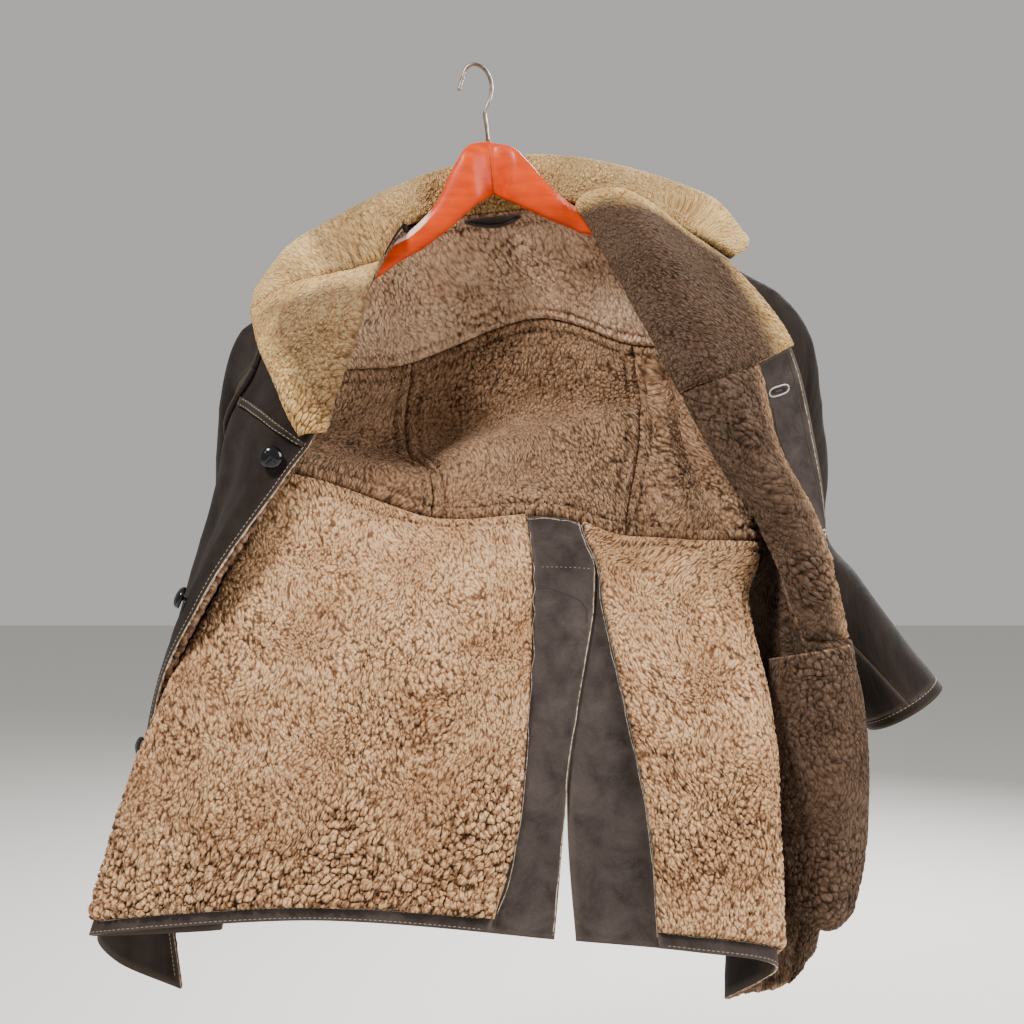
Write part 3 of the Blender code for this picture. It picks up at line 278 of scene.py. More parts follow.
# level, station of the wool's edge beside each suede vent facing, and of the facing's free edge
VENT_R_WOOL = ((4.0, 7.76), (5.0, 7.765), (6.0, 7.75), (6.5, 7.735), (7.0, 7.65))
VENT_R_FREE = ((4.0, 8.33), (4.5, 8.32), (5.0, 8.20), (6.0, 8.00), (7.0, 7.94))
VENT_L_WOOL = ((4.0, 8.38), (4.5, 8.37), (5.0, 8.28), (5.5, 8.34), (6.0, 8.48), (6.5, 8.64), (7.0, 8.70))
VENT_L_FREE = ((4.0, 7.95), (5.0, 7.95), (6.0, 7.97), (6.5, 7.99), (7.0, 8.06))
BAND_TOP = 6.915         # level of the hem band's upper edge
# station, level on the left front's face
LAPEL_FOOT = ((1.0, 2.42), (2.0, 2.30), (3.0, 2.19), (4.0, 2.05))
STRIP_FOOT = 5.32


def level(value):
    """A line that keeps to one station or level."""
    return lambda place: np.full(np.shape(place), float(value))


def along(rows):
    """A line through (place, value) rows."""
    return lambda place: line_at(place, rows)


def smooth(t):
    """0 below 0, 1 above 1, an S between."""
    t = np.clip(t, 0, 1)
    return t * t * (3 - 2 * t)


def edge_level(left, right, line, s):
    """Level of a top or bottom line at s across, found by stepping along the line."""
    v = line(np.zeros(np.shape(s)))
    for _ in range(6):
        v = line(left(v) + (right(v) - left(v)) * s)
    return v


def spot(left, right, top, bottom, s, t):
    """Station and level at s across and t down a panel between four edge lines."""
    v = (1 - t) * edge_level(left, right, top, s) + t * edge_level(left, right, bottom, s)
    return left(v) + (right(v) - left(v)) * s, v


BACK_R, BACK_L = along(R_SIDE_OF_BACK), along(L_SIDE_OF_BACK)
FRONT_R, FRONT_L = along(R_SIDE_OF_FRONT), along(L_SIDE_OF_FRONT)


def bounds(*values):
    """Four edge lines that each keep to one station or level: left, right, top, bottom."""
    return tuple(level(value) for value in values)


print("seam lines ready; the vent opens at level", VENT_R_FREE[0][0])

# %% [markdown]
# ## Collar, lapel, sleeves and pocket bag
# The collar and the right lapel are nets sewn to the body's edge: a net's first row is moved to lie on the
# seam, and the rest follows by its share. A sleeve is a tube from the armhole's edge through a few rings.

# %% Collar and right lapel
HALF_HIDE = 0.0006       # middle of the hide to its wool side
HIDE = 0.0015            # and to its suede face
TURN_OVER = 0.0042       # from a front's hide to the hide of the part of it that is folded over
# The right lapel, turned out over the front. level of the front's edge, then crest, inner, outer, edge.
LAPEL_R = (
    (1.50, (-11.5, -3.7, -21.1), (-13.6, -4.6, -21.8), (-17.8, -4.6, -23.0), (-21.3, -4.0, -25.2)),
    (1.95, (-12.1, -6.6, -27.4), (-14.6, -7.3, -27.2), (-17.6, -7.2, -27.6), (-20.2, -6.5, -28.8)),
    (2.40, (-13.3, -7.7, -31.6), (-14.9, -8.3, -31.7), (-16.8, -8.4, -32.0), (-18.6, -8.0, -32.4)),
    (2.75, (-14.2, -8.2, -34.8), (-15.1, -8.7, -35.0), (-16.2, -8.8, -35.2), (-17.3, -8.6, -35.5)),
    (2.97, (-14.8, -8.3, -36.9), (-15.2, -8.7, -37.1), (-15.8, -8.8, -37.2), (-16.3, -8.7, -37.4)),
)
# The collar, from the right gorge round the neck to the left one. stand, top of the roll, outer edge.
COLLAR = (
    ("gorge r",    (-13.6, -4.6, -21.8), (-17.8, -4.6, -23.0), (-21.3, -4.0, -25.2)),
    ("shoulder r", (-12.8, -2.2, -18.0), (-17.8, -2.2, -19.4), (-21.0, -1.6, -23.2)),
    ("neck r",     (-10.2, 0.6, -14.4), (-14.9, 0.8, -16.7), (-19.3, 2.8, -21.3)),
    ("back r",     (-3.4, 4.6, -10.6), (-5.5, 7.2, -10.8), (-8.5, 10.5, -15.5)),
    ("back",       (1.7, 5.2, -9.8), (1.3, 7.8, -9.0), (1.0, 11.5, -13.8)),
    ("back l",     (7.6, 4.4, -9.6), (8.2, 6.8, -8.6), (10.5, 10.5, -13.0)),
    ("neck l",     (12.8, 1.4, -10.8), (16.4, 3.4, -10.9), (20.7, 6.5, -15.2)),
    ("shoulder l", (17.9, 0.2, -13.6), (23.4, 1.9, -13.6), (27.0, 2.9, -17.3)),
    ("gorge l",    (20.2, -0.5, -16.6), (23.5, 0.5, -17.8), (25.7, 1.5, -19.0)),
)
GORGE_LEVEL = 1.50       # where the right gorge meets the front's edge
GORGE_STATION = 2.7      # where the left gorge ends on the lapel's head
NECK_R, NECK_L, GORGE_L = 2, 6, 8    # places along the collar
LAPEL_ENDS, COLLAR_EDGE = 4, 3


def sewn_on(net, w, s, seam):
    """A surface from a net whose first column is moved to lie on a seam; the rest follows by its share."""
    share = weights(w, net.shape[0])[..., :1]
    return surface(net, w, s) + share * (seam - surface(net, np.zeros_like(w), s))


LAPEL_NET, COLLAR_NET = [placed([row[1:2] + row[1:] for row in rows]).transpose(1, 0, 2)
                         for rows in (LAPEL_R, COLLAR)]


def turned_edge(down):
    """The right front's edge, moved off its suede by the thickness of what folds over it."""
    return body(R_EDGE, down) - lean(body, np.full(np.shape(down), float(R_EDGE)), down) * TURN_OVER


def lapel_r(u, s):
    """The right lapel: u runs from its outer edge (0) to the front's edge (4), s from gorge to point."""
    u, s = np.broadcast_arrays(np.asarray(u, dtype=float), s)
    front_level = weights(s, len(LAPEL_R)) @ np.array([row[0] for row in LAPEL_R])
    return sewn_on(LAPEL_NET, LAPEL_ENDS - u, s, turned_edge(front_level))


def neck_line(s):
    """The seam that the collar stands on: front edge, back neck, then the head of the left lapel."""
    rise = turned_edge(GORGE_LEVEL + (SHOULDER - GORGE_LEVEL) * np.clip(s / NECK_R, 0, 1))
    share = np.clip((s - NECK_R) / (NECK_L - NECK_R), 0, 1)
    station = B_RIGHT + (B_LEFT - B_RIGHT) * share
    over = smooth(np.abs(share - 0.5) * 4 - 0.6)[..., None] * TURN_OVER
    neck = body(station, SHOULDER) - lean(body, station, np.full(station.shape, float(SHOULDER))) * over
    head = F_FOLD + (GORGE_STATION - F_FOLD) * np.clip((s - NECK_L) / (GORGE_L - NECK_L), 0, 1)
    gorge = left_face(head, np.full(np.shape(s), float(SHOULDER)))
    gorge = gorge + np.clip(s - NECK_L, 0, 1)[..., None] * np.array((0.0, 0.006, 0.0))
    first = (s < NECK_R)[..., None]
    last = (s > NECK_L)[..., None]
    return np.where(first, rise, np.where(last, gorge, neck))


def collar(s, v):
    """The collar: s runs round the neck, v from the outer edge (0) down to the seam (3)."""
    s, v = np.broadcast_arrays(np.asarray(s, dtype=float), v)
    return sewn_on(COLLAR_NET, COLLAR_EDGE - v, s, neck_line(s))

# %% Sleeves and pocket bag
SLEEVE_OUT = HIDE + 0.0042
# Rings of each sleeve: centre, vector to its outer side, half its depth to the back.
SLEEVE_L = (
    ("upper arm", (29.8, 7.3, -32.0), (1.9, -2.6, 7.5), (-3.4, 4.6, -0.5)),
    ("arm",       (32.4, 11.4, -39.8), (4.6, -0.4, 2.4), (-0.6, 4.5, 1.0)),
    ("elbow",     (31.8, 12.6, -47.0), (5.6, 0.0, 0.3), (0.0, 4.5, 0.0)),
    ("forearm",   (35.8, 11.7, -54.4), (4.9, 0.0, 2.9), (0.0, 4.7, 0.0)),
    ("low",       (41.0, 10.2, -60.4), (4.1, 0.0, 2.5), (0.0, 4.8, 0.0)),
    ("cuff",      (45.2, 8.7, -65.2), (3.7, 0.0, 2.3), (0.0, 4.9, 0.0)),
)
SLEEVE_R = (
    ("upper arm", (-22.4, 7.4, -33.6), (-1.6, -2.6, 5.6), (2.2, 4.2, -0.2)),
    ("arm",       (-23.2, 11.8, -43.4), (-4.0, -0.4, 2.6), (1.6, 4.2, 0.9)),
    ("elbow",     (-21.8, 14.6, -53.5), (-5.0, 0.0, 0.0), (0.0, 4.3, 0.0)),
    ("forearm",   (-22.6, 15.0, -63.5), (-4.8, 0.0, 0.2), (0.0, 4.2, 0.0)),
    ("cuff",      (-24.2, 14.4, -75.0), (-4.5, 0.0, 0.4), (0.0, 4.2, 0.0)),
)
CUFF = 0.19              # height of the cuff band, in rings


def armhole(back, front, theta):
    """The armhole's edge: top at 0, back at a quarter turn, foot at a half, front at three quarters."""
    theta = np.mod(theta, 2 * pi)
    down = SHOULDER + (ARMHOLE_FOOT - SHOULDER) * (1 - np.cos(theta)) / 2
    station = np.where(theta < pi, line_at(down, back), line_at(down, front))
    edge = body(station, down)
    return edge - lean(body, station, down) * SLEEVE_OUT


def sleeve(rows, back, front, turn):
    """A tube lofted from the armhole through the rings; turn is +1 or -1, so that the wool is inside."""
    centres = placed([row[1] for row in rows])
    outer = np.array([row[2] for row in rows]) * CM
    deep = np.array([row[3] for row in rows]) * CM

    def place(u, v):
        u, v = np.broadcast_arrays(np.asarray(u, dtype=float), v)
        theta = turn * 2 * pi * u
        share = weights(v, len(rows) + 1)
        rings = centres[:, None, None] + np.cos(theta)[..., None] * outer[:, None, None]
        rings = rings + np.sin(theta)[..., None] * deep[:, None, None]
        hole = armhole(back, front, theta)
        return share[..., :1] * hole + np.einsum("...i,i...k->...k", share[..., 1:], rings)

    return place


# Left edge, middle and right edge of the bag, from its mouth down.
POCKET = (
    ("mouth",  (29.8, 0.6, -59.4), (33.4, -1.53, -58.6), (37.0, -1.2, -57.9)),
    ("upper",  (29.6, 0.9, -64.6), (34.0, -1.2, -64.2), (38.5, -0.3, -63.6)),
    ("middle", (29.9, 0.4, -72.0), (34.8, -1.6, -71.6), (39.0, 0.2, -71.0)),
    ("lower",  (30.7, -0.2, -79.6), (35.1, -1.7, -79.2), (38.6, 0.2, -78.5)),
    ("foot",   (31.8, -0.8, -84.4), (34.8, -1.5, -85.8), (37.2, 0.0, -84.4)),
)
pocket = patch(placed([row[1:] for row in POCKET]).transpose(1, 0, 2))

# %% [markdown]
# ## Colours and shader nodes
# Colours are written as sRGB hex, as a dye chart gives them, and turned to the linear values that light
# needs.
# %% Colour and node helpers
def linear(hexed):
    """sRGB hex to linear RGBA: ((c + 0.055) / 1.055) ^ 2.4, or c / 12.92 near black."""
    c = np.array([int(hexed[k:k + 2], 16) for k in (0, 2, 4)]) / 255
    return (*np.where(c <= 0.04045, c / 12.92, ((c + 0.055) / 1.055) ** 2.4), 1.0)


def feed(node, values):
    """Set a node's sockets or properties by name or number; a value that is another's output is linked."""
    for name, value in dict(values).items():
        if isinstance(value, bpy.types.NodeSocket):
            node.id_data.links.new(value, node.inputs[name])
        elif isinstance(name, str) and hasattr(node, name):
            setattr(node, name, value)
        else:
            node.inputs[name].default_value = value


def add(tree, kind, values=(), out=0):
    """Add a shader node, feed it, and return one of its outputs."""
    made = tree.nodes.new("ShaderNode" + kind)
    feed(made, values)
    return made.outputs[out]


def noise(tree, where, size, detail, roughness=0.5, distortion=0.0, out="Fac"):
    """Soft noise whose blotches are about one size, in metres."""
    return add(tree, "TexNoise", {"Vector": where, "Scale": 1 / size, "Detail": detail,
                                  "Roughness": roughness, "Distortion": distortion}, out)


def maths(tree, operation, *values, kind="Math"):
    """A sum; MULTIPLY_ADD is the first value times the second, plus the third."""
    return add(tree, kind, {"operation": operation, **dict(enumerate(values))})


def blend(tree, share, first, second, how="MIX"):
    """The first colour, blended by a share with the second."""
    return add(tree, "Mix", {"data_type": "RGBA", "blend_type": how, 0: share, 6: first, 7: second}, 2)


def attribute(tree, name):
    """A value that the mesh carries for each of its points."""
    return add(tree, "Attribute", {"attribute_name": name}, "Fac")


def ramp(tree, value, places, colours):
    """Colours, as words of hex, at places along a value."""
    made = tree.nodes.new("ShaderNodeValToRGB")
    feed(made, {"Fac": value})
    while len(made.color_ramp.elements) < len(places):
        made.color_ramp.elements.new(0.5)
    for element, place, hexed in zip(made.color_ramp.elements, places, colours.split()):
        element.position, element.color = place, linear(hexed)
    return made.outputs[0]


def material(name, **settings):
    """A Principled material; returns it with its tree and its shader."""
    made = bpy.data.materials.new(name)
    made.use_nodes = True
    shader = made.node_tree.nodes["Principled BSDF"]
    feed(shader, {key.replace("_", " ").title().replace("Ior", "IOR"): v for key, v in settings.items()})
    return made, made.node_tree, shader


def plain(name, hexed, **settings):
    """A material of one colour."""
    return material(name, Base_Color=linear(hexed), **settings)[0]


def speckled(name, size, places, colours, **settings):
    """A material whose colours lie in noise of one size."""
    made, tree, shader = material(name, **settings)
    speckle = noise(tree, add(tree, "TexCoord", out="Object"), size, 4.0)
    feed(shader, {"Base Color": ramp(tree, speckle, places, colours)})
    return made

# %% [markdown]
# ## Sheep's wool on the skin
# Shearling is sheepskin tanned with its wool on and shorn to a centimetre. The fibres stick together in
# curled clumps, paler at the tips. The clumps themselves are shape here; the material colours them by how
# high each point stands (the `tip` attribute), pale on top and with painted shade in the
# gaps down to the skin, and adds the fibre, finer than the mesh, as bump. Sheen gives the soft rim
# that light makes on a pile.
# %% Wool materials
CURL = (0.0026, 0.0050)  # a fine curl's width and length
FIBRE = 0.0007
CURL_RELIEF = 0.0028     # height that the bump gives to curls and fibre


def wool(name, colours, patches, crevice_shade_strength, curl=CURL, shade_colour="FFFFFF"):
    """Wool coloured by height, paler on the curls and with painted shade down in the crevices: fine curls
    in a flowing, stretched pattern, and fibre as bump.

    Where the `bleached` attribute is 0 the shade_colour darkens it, as painted shade on wool that lies
    in shade.
    """
    made, tree, shader = material(name, Roughness=0.95, Specular_Ior_Level=0.08, Sheen_Weight=0.15,
                                  Sheen_Roughness=0.4, Sheen_Tint=linear("F0DCC0"))
    where, tip = add(tree, "UVMap", {"uv_map": "cloth"}), attribute(tree, "tip")
    drift = noise(tree, where, 0.06, 1.0, out="Color")
    flowing = maths(tree, "MULTIPLY_ADD", drift, (0.030, 0.030, 0.0), where, kind="VectorMath")
    bent = noise(tree, where, 0.0035, 2.0, out="Color")
    warp = maths(tree, "MULTIPLY_ADD", bent, (0.0030, 0.0030, 0.0), flowing, kind="VectorMath")
    laid = add(tree, "Mapping", {0: warp, 2: (0.0, 0.0, 0.6), 3: (1 / curl[0], 1 / curl[1], 1.0)})
    clump = add(tree, "TexVoronoi", {"feature": "SMOOTH_F1", "Vector": laid, "Scale": 1.0,
                                     "Smoothness": 0.25})
    fibre = noise(tree, warp, FIBRE, 3.0, 0.75)
    domed = add(tree, "MapRange", {"Value": clump, "From Min": 0.85, "From Max": 0.15})
    raised = maths(tree, "MULTIPLY_ADD", fibre, 0.45, domed)
    bump = add(tree, "Bump", {"Height": raised, "Strength": 1.0, "Distance": CURL_RELIEF})
    # Painted shade: the colour also follows the bump's height, darker down between the curls, by
    # crevice_shade_strength.
    fine = maths(tree, "MULTIPLY_ADD", raised, 0.62 * crevice_shade_strength, -0.42 * crevice_shade_strength)
    colour = ramp(tree, maths(tree, "ADD", fine, tip), (0.0, 0.3, 0.6, 1.0), colours)
    blotch = noise(tree, where, 0.09, 4.0, 0.6)
    share = add(tree, "MapRange", {"Value": blotch, "From Min": 0.42, "From Max": 0.66, "To Max": 0.8})
    mixed = blend(tree, share, colour, linear(patches), "MULTIPLY")
    # Painted shade: where bleached is below 1 the wool is multiplied by the shade_colour.
    painted_shade = blend(tree, attribute(tree, "bleached"), linear(shade_colour), linear("FFFFFF"))
    feed(shader, {"Base Color": blend(tree, 1.0, mixed, painted_shade, "MULTIPLY"), "Normal": bump})
    return made


TAN = wool("tan shearling, shorn", "2E1E14 7C5A40 BE8E66 F6C898", "C8B8AC", 1.6, (0.0021, 0.0038))
# A paler copy of the brown wool for the back yoke: painted light, for the light on the yoke under the hanger.
LIT_NECK_WOOL = wool("brown shearling by the neck", "4A3020 A07C60 D8B090 FFDAB8", "E0D4CA", 0.9)
# BODICE and COLLAR_WOOL darken with their shade_colour (the last colour given): painted shade wherever
# bleached is below 1.
BODICE = wool("brown shearling, combed", "241710 664A36 A07C5E CEA684", "DCD0C6", 0.9, (0.0023, 0.0044),
              "8C8C94")
COLLAR_WOOL = wool("collar shearling, short", "4A321E A47C4C E0B274 FFE09E", "EADFCC", 0.7, (0.0019, 0.0027),
                   "6C6984")
print("wool materials", [m.name for m in (TAN, LIT_NECK_WOOL, BODICE, COLLAR_WOOL)])

# %% [markdown]
# ## Suede and its raw edge
# Suede is the flesh side of the skin, buffed to a short nap and dyed dark brown. It is dull, mottled where
# the nap lies two ways, and rubbed paler along edges. Where a piece is cut and not turned in, the undyed
# skin shows as a pale line. The thread is waxed cotton.
# %% Suede, edge and thread materials
def suede(name, tones, rubbed):
    """Buffed leather: two tones in the nap, fine grain as bump, and rubbed edges (the `rub` attribute)."""
    made, tree, shader = material(name, Roughness=0.85, Specular_Ior_Level=0.12, Sheen_Weight=0.04,
                                  Sheen_Roughness=0.5)
    where = add(tree, "UVMap", {"uv_map": "cloth"})
    nap, grain = noise(tree, where, 0.035, 5.0, 0.65, 0.4), noise(tree, where, 0.0016, 4.0, 0.7)
    colour = ramp(tree, maths(tree, "MULTIPLY_ADD", grain, 0.35, nap), (0.42, 0.92), tones)
    worn = maths(tree, "MULTIPLY", attribute(tree, "rub"), grain)
    height = maths(tree, "MULTIPLY_ADD", noise(tree, where, 0.012, 3.0, distortion=1.2), 2.2, grain)
    bump = add(tree, "Bump", {"Height": height, "Strength": 0.55, "Distance": 0.0007})
    feed(shader, {"Base Color": blend(tree, worn, colour, linear(rubbed)), "Normal": bump})
    return made


SUEDE = suede("brown suede, buffed", "17110E 2E2520", "54483E")
STRIP_SUEDE = suede("brown suede facing", "221B18 4F4541", "685C54")
RAW_EDGE = speckled("raw hide edge", 0.004, (0.35, 0.6), "6E5A48 C4B19A", Roughness=0.9,
                    Specular_Ior_Level=0.15)
THREAD = plain("waxed cotton thread", "8C7F70", Roughness=0.7, Specular_Ior_Level=0.3)
PALE_THREAD = plain("pale buttonhole thread", "CFC8BC", Roughness=0.75)

# %% [markdown]
# ## Measuring cloth on a grid
# A wool clump is 4 to 9 mm wide wherever it grows, so patterns are laid out in real metres over the cloth.
# Each piece is a grid; the length walked along its rows and columns gives every point its place on the
# flat hide.
# %% Grids, lengths and normals
def facing(points):
    """Unit slope across and down a grid, and the unit normal on the wool side: down crossed with across."""
    down, across = np.gradient(points, axis=0), np.gradient(points, axis=1)
    normal = np.cross(down, across)
    return tuple(v / np.maximum(np.linalg.norm(v, axis=-1, keepdims=True), 1e-12)
                 for v in (across, down, normal))


def walked(points, axis):
    """Length walked over the cloth along an axis of the grid, from 0, in metres."""
    steps = np.linalg.norm(np.diff(points, axis=axis), axis=-1)
    return np.insert(np.cumsum(steps, axis=axis), 0, 0.0, axis=axis)


def cloth_grid(place, edges, step, out=(0, 0, 0, 0)):
    """Points of a panel about a step apart, out metres past its left, right, top and bottom lines."""
    s, t = np.linspace(0, 1, 13)[None], np.linspace(0, 1, 13)[:, None]
    rough = place(*spot(*edges, s, t))
    width, height = walked(rough, 1)[:, -1].mean(), walked(rough, 0)[-1].mean()
    across = max(3, int(round(width / step)))
    down = max(2, int(round(height / step)))
    s = np.linspace(-out[0] / width, 1 + out[1] / width, across + 1)[None]
    t = np.linspace(-out[2] / height, 1 + out[3] / height, down + 1)[:, None]
    return place(*spot(*edges, s, t))


# %% Meshes from arrays
CUT = {}


def linked(name, data):
    """An object in the scene for a mesh, a lamp or a camera."""
    made = bpy.data.objects.new(name, data)
    bpy.context.scene.collection.objects.link(made)
    return made


def made_mesh(name, vertices, faces, finishes, uv=None, values=(), slots=None, node=None, owner=None):
    """One object at the origin from vertices and faces (quads as an array), with a uv map and point values.

    It rides on the coat's one body, shows in place of its node, and goes with the hide that owns it.
    """
    mesh = bpy.data.meshes.new(name)
    mesh.from_pydata(vertices.tolist(), [], faces if isinstance(faces, list) else faces.tolist())
    if uv is not None:
        layer = mesh.uv_layers.new(name="cloth")
        layer.uv.foreach_set("vector", uv[faces.ravel()].ravel().astype(np.float32))
    for key, value in dict(values).items():
        mesh.attributes.new(key, "FLOAT", "POINT").data.foreach_set("value", value.ravel().astype(np.float32))
    for finish in finishes:
        mesh.materials.append(finish)
    if slots is not None:
        mesh.polygons.foreach_set("material_index", slots)
    mesh.shade_smooth()
    made = linked(name, mesh)
    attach(made, "root")
    if node:
        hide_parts(node)
    if owner:
        CUT[owner]["with"].append(made)
    return made


def quads(rows, columns, ring=False, start=0):
    """Quads of a grid numbered row by row, facing along down crossed with across; a ring closes on itself."""
    grid = start + np.arange(rows * columns).reshape(rows, columns)
    if ring:
        grid = np.concatenate((grid, grid[:, :1]), axis=1)
    return np.stack((grid[:-1, :-1], grid[1:, :-1], grid[1:, 1:], grid[:-1, 1:]), axis=-1).reshape(-1, 4)

# %% [markdown]
# ## Curls
# Wool clumps look like cells: each is a dome round its own centre, with a crevice where two meet. Cellular
# noise gives exactly that, if the cells are bent by a softer noise so that no row shows.
# %% Noise over the cloth
def soft_noise(x, y, seed):
    """Random numbers on a lattice of unit cells, blended between by an S curve; from -1 to 1."""
    lattice = np.random.default_rng(seed).random((64, 64))
    i, j = np.floor(x).astype(int), np.floor(y).astype(int)
    fx, fy = smooth(x - i), smooth(y - j)
    near = lattice[i % 64, j % 64] * (1 - fx) + lattice[(i + 1) % 64, j % 64] * fx
    far = lattice[i % 64, (j + 1) % 64] * (1 - fx) + lattice[(i + 1) % 64, (j + 1) % 64] * fx
    return 2 * (near * (1 - fy) + far * fy) - 1


def cells(x, y, seed):
    """Distances to the first and second centre, one jittered in each unit cell, and the way to the first."""
    jitter = np.random.default_rng(seed).random((64, 64, 2))
    i, j = np.floor(x).astype(int), np.floor(y).astype(int)
    first = np.full(x.shape, 9.0)
    second, way = first.copy(), np.zeros(x.shape + (2,))
    for di, dj in [(a, b) for a in (-1, 0, 1) for b in (-1, 0, 1)]:
        centre = jitter[(i + di) % 64, (j + dj) % 64]
        to = np.stack((i + di + centre[..., 0] - x, j + dj + centre[..., 1] - y), axis=-1)
        far = np.linalg.norm(to, axis=-1)
        second = np.minimum(second, np.maximum(first, far))
        way = np.where((far < first)[..., None], to, way)
        first = np.minimum(first, far)
    return first, second, way


def curls(x, y, size, stretch, turn, seed):
    """Clump height 0..1 = dome of the distance to its centre, less the crevice; and the way out of it."""
    c, s = np.cos(turn), np.sin(turn)
    p, q = (x * c + y * s) / size, (y * c - x * s) / (size * stretch)
    bend = [0.42 * soft_noise(p * 0.8, q * 0.8, seed + k) for k in (1, 2)]
    p, q = p + bend[0], q + bend[1]
    first, second, way = cells(p, q, seed)
    dome = np.sqrt(np.clip(1 - (first / 0.95) ** 2, 0, 1))
    height = dome * (0.3 + 0.7 * smooth((second - first) / 0.42))
    back = np.stack((way[..., 0] * c - way[..., 1] * s, way[..., 0] * s + way[..., 1] * c), axis=-1)
    return height, -back * size

# %% [markdown]
# ## A pile of wool
# The wool's own mesh stands on the hide. It is full height in the middle of a piece and rolls down like a
# shoulder at each border: deep in a seam, less at a free edge, where it also bulges past the hide.
# %% The wool mesh
SHOULDER_WIDTH = 0.0085  # how far in from a border the wool reaches its height
GROOVE_IN, GROOVE_WIDE = 0.0130, 0.0026    # the groove beside a seam: how far in, and its width
ROLL_IN, ROLL_WIDE = 0.0065, 0.003         # the roll of wool between the seam and its groove
ROOT = 0.0004            # the wool's foot stands this deep in the hide


def rolled(distance, width):
    """0 at a border, 1 from a width in, as a quarter circle."""
    return np.sqrt(1 - (1 - np.clip(distance / width, 0, 1)) ** 2)


def padded(grid):
    """The same grid with its border rows and columns doubled."""
    return np.pad(grid, ((1, 1), (1, 1)) + ((0, 0),) * (grid.ndim - 2), mode="edge")


def wool_on(name, place, edges, finish, slot, pile, size, deep, rims, out, step=0.0015, stretch=1.3, turn=0.0,
            pressed=SHOULDER_WIDTH, ridges=(), grow=(1.0, 1.0), streak=0.0, seed=1, width=SHOULDER_WIDTH,
            fine=0.0008, double=0.0, bleach=(0.0, 0.0, 0.0, 0.0), even=0.0):
    """Wool = surface + normal * (rolled border height - crevices + lumps), bulged out of each clump's side.

    rims are the wool's heights at the left, right, top and bottom borders, out how far it passes each.
    ridges are (x0, y0, x1, y1, height, width) lines in metres over the piece, x from its middle. deep is
    the depth between big curls, which grow scales from top to bottom, and fine between small ones. double
    is the depth of a second groove beside each seam. bleach is how far in from each border the wool is
    spared the painted shade, as a painted lit rim, even how much it is spared elsewhere.
    """
    base = cloth_grid(place, edges, step, out)
    across, down, normal = facing(base)
    x, y = walked(base, 1), walked(base, 0)
    borders = x, x[:, -1:] - x, y, y[-1:] - y
    tall, groove = np.full(x.shape, pile), np.zeros(x.shape)
    for distance, rim, reach in zip(borders, rims, (width, width, pressed, width)):
        tall = np.minimum(tall, rim + (pile - rim) * rolled(distance, reach))
        if 0 < rim < pile / 2:
            wander = distance + 0.0014 * soft_noise(x / 0.021, y / 0.023, seed + 11)
            groove = np.maximum(groove, np.exp(-((wander - GROOVE_IN) / GROOVE_WIDE) ** 2))
            tall = tall + 0.4 * double * np.exp(-((wander - ROLL_IN) / ROLL_WIDE) ** 2)
    tall = tall - double * groove
    x = x - x[:, x.shape[1] // 2:x.shape[1] // 2 + 1]
    patchy = smooth(0.5 + 0.9 * soft_noise(x / 0.060, y / 0.055, seed + 8))
    much = (grow[0] + (grow[1] - grow[0]) * smooth(y / y[-1:])) * (0.55 + 0.65 * patchy)
    flow_x = x + 0.009 * soft_noise(x / 0.055, y / 0.055, seed + 9)
    flow_y = y + 0.009 * soft_noise(x / 0.05, y / 0.05, seed + 10)
    big, way = curls(flow_x, flow_y, size, stretch, turn, seed)
    small, _ = curls(flow_x, flow_y, size * 0.58, stretch * 1.35, turn + 0.5, seed + 7)
    lumps = 0.6 * soft_noise(x / 0.031, y / 0.034, seed + 3)
    lumps = lumps + 0.4 * soft_noise(x / 0.014, y / 0.013, seed + 4)
    combed = soft_noise((flow_x * np.cos(turn) + flow_y * np.sin(turn)) / 0.0045,
                        (flow_y * np.cos(turn) - flow_x * np.sin(turn)) / 0.03, seed + 5)
    full = np.clip(tall / pile, 0, 1)
    sink = np.minimum(1, full + 0.15)
    height = tall - sink * (deep * much * (1 - big) + fine * (1 - small))
    height = height + sink * (0.0009 * lumps + streak * combed)
    for x0, y0, x1, y1, rise, wide in ridges:
        run = np.array((x1 - x0, y1 - y0))
        along_line = np.clip(((x - x0) * run[0] + (y - y0) * run[1]) / (run @ run), 0, 1)
        off = np.hypot(x - x0 - along_line * run[0], y - y0 - along_line * run[1])
        height = height + rise * np.exp(-(off / wide) ** 2)
    bulge = 0.28 * (big * sink * much)[..., None] * way
    points = base + normal * height[..., None] + across * bulge[..., :1] + down * bulge[..., 1:]
    points, foot = padded(points), padded(base - normal * ROOT)
    border = np.ones(points.shape[:2], bool)
    border[1:-1, 1:-1] = False
    points[border] = foot[border]
    strong = np.clip(much, 0, 1.2)
    # tip: paler on the curls' tops, with painted shade down between clumps, more where curls are big (so a
    # skirt is paler at its top), in seam grooves, at rolled borders and on the foot.
    tip = 0.66 - 0.52 * strong * (1 - big) - 0.16 * (1 - small) + 0.07 * lumps + 90 * streak * combed
    tip = padded(np.clip(tip + 0.16 - 90 * double * groove, 0, 1) * (0.55 + 0.45 * full))
    tip[border] = 0.1
    # bleached: 1 within each border's bleach, a painted lit rim, and `even` elsewhere; below 1 the wool takes
    # painted shade.
    pale = np.full(full.shape, even)
    for distance, reach in zip(borders, bleach):
        pale = np.maximum(pale, smooth(1.25 - distance / max(reach, 1e-6) + 0.25 * lumps))
    uv = np.stack((padded(x), padded(y)), axis=-1).reshape(-1, 2)
    return made_mesh(name + "_wool", points.reshape(-1, 3), quads(*points.shape[:2]), [finish], uv,
                     {"tip": tip, "bleached": padded(pale)}, owner=name + "_hide")

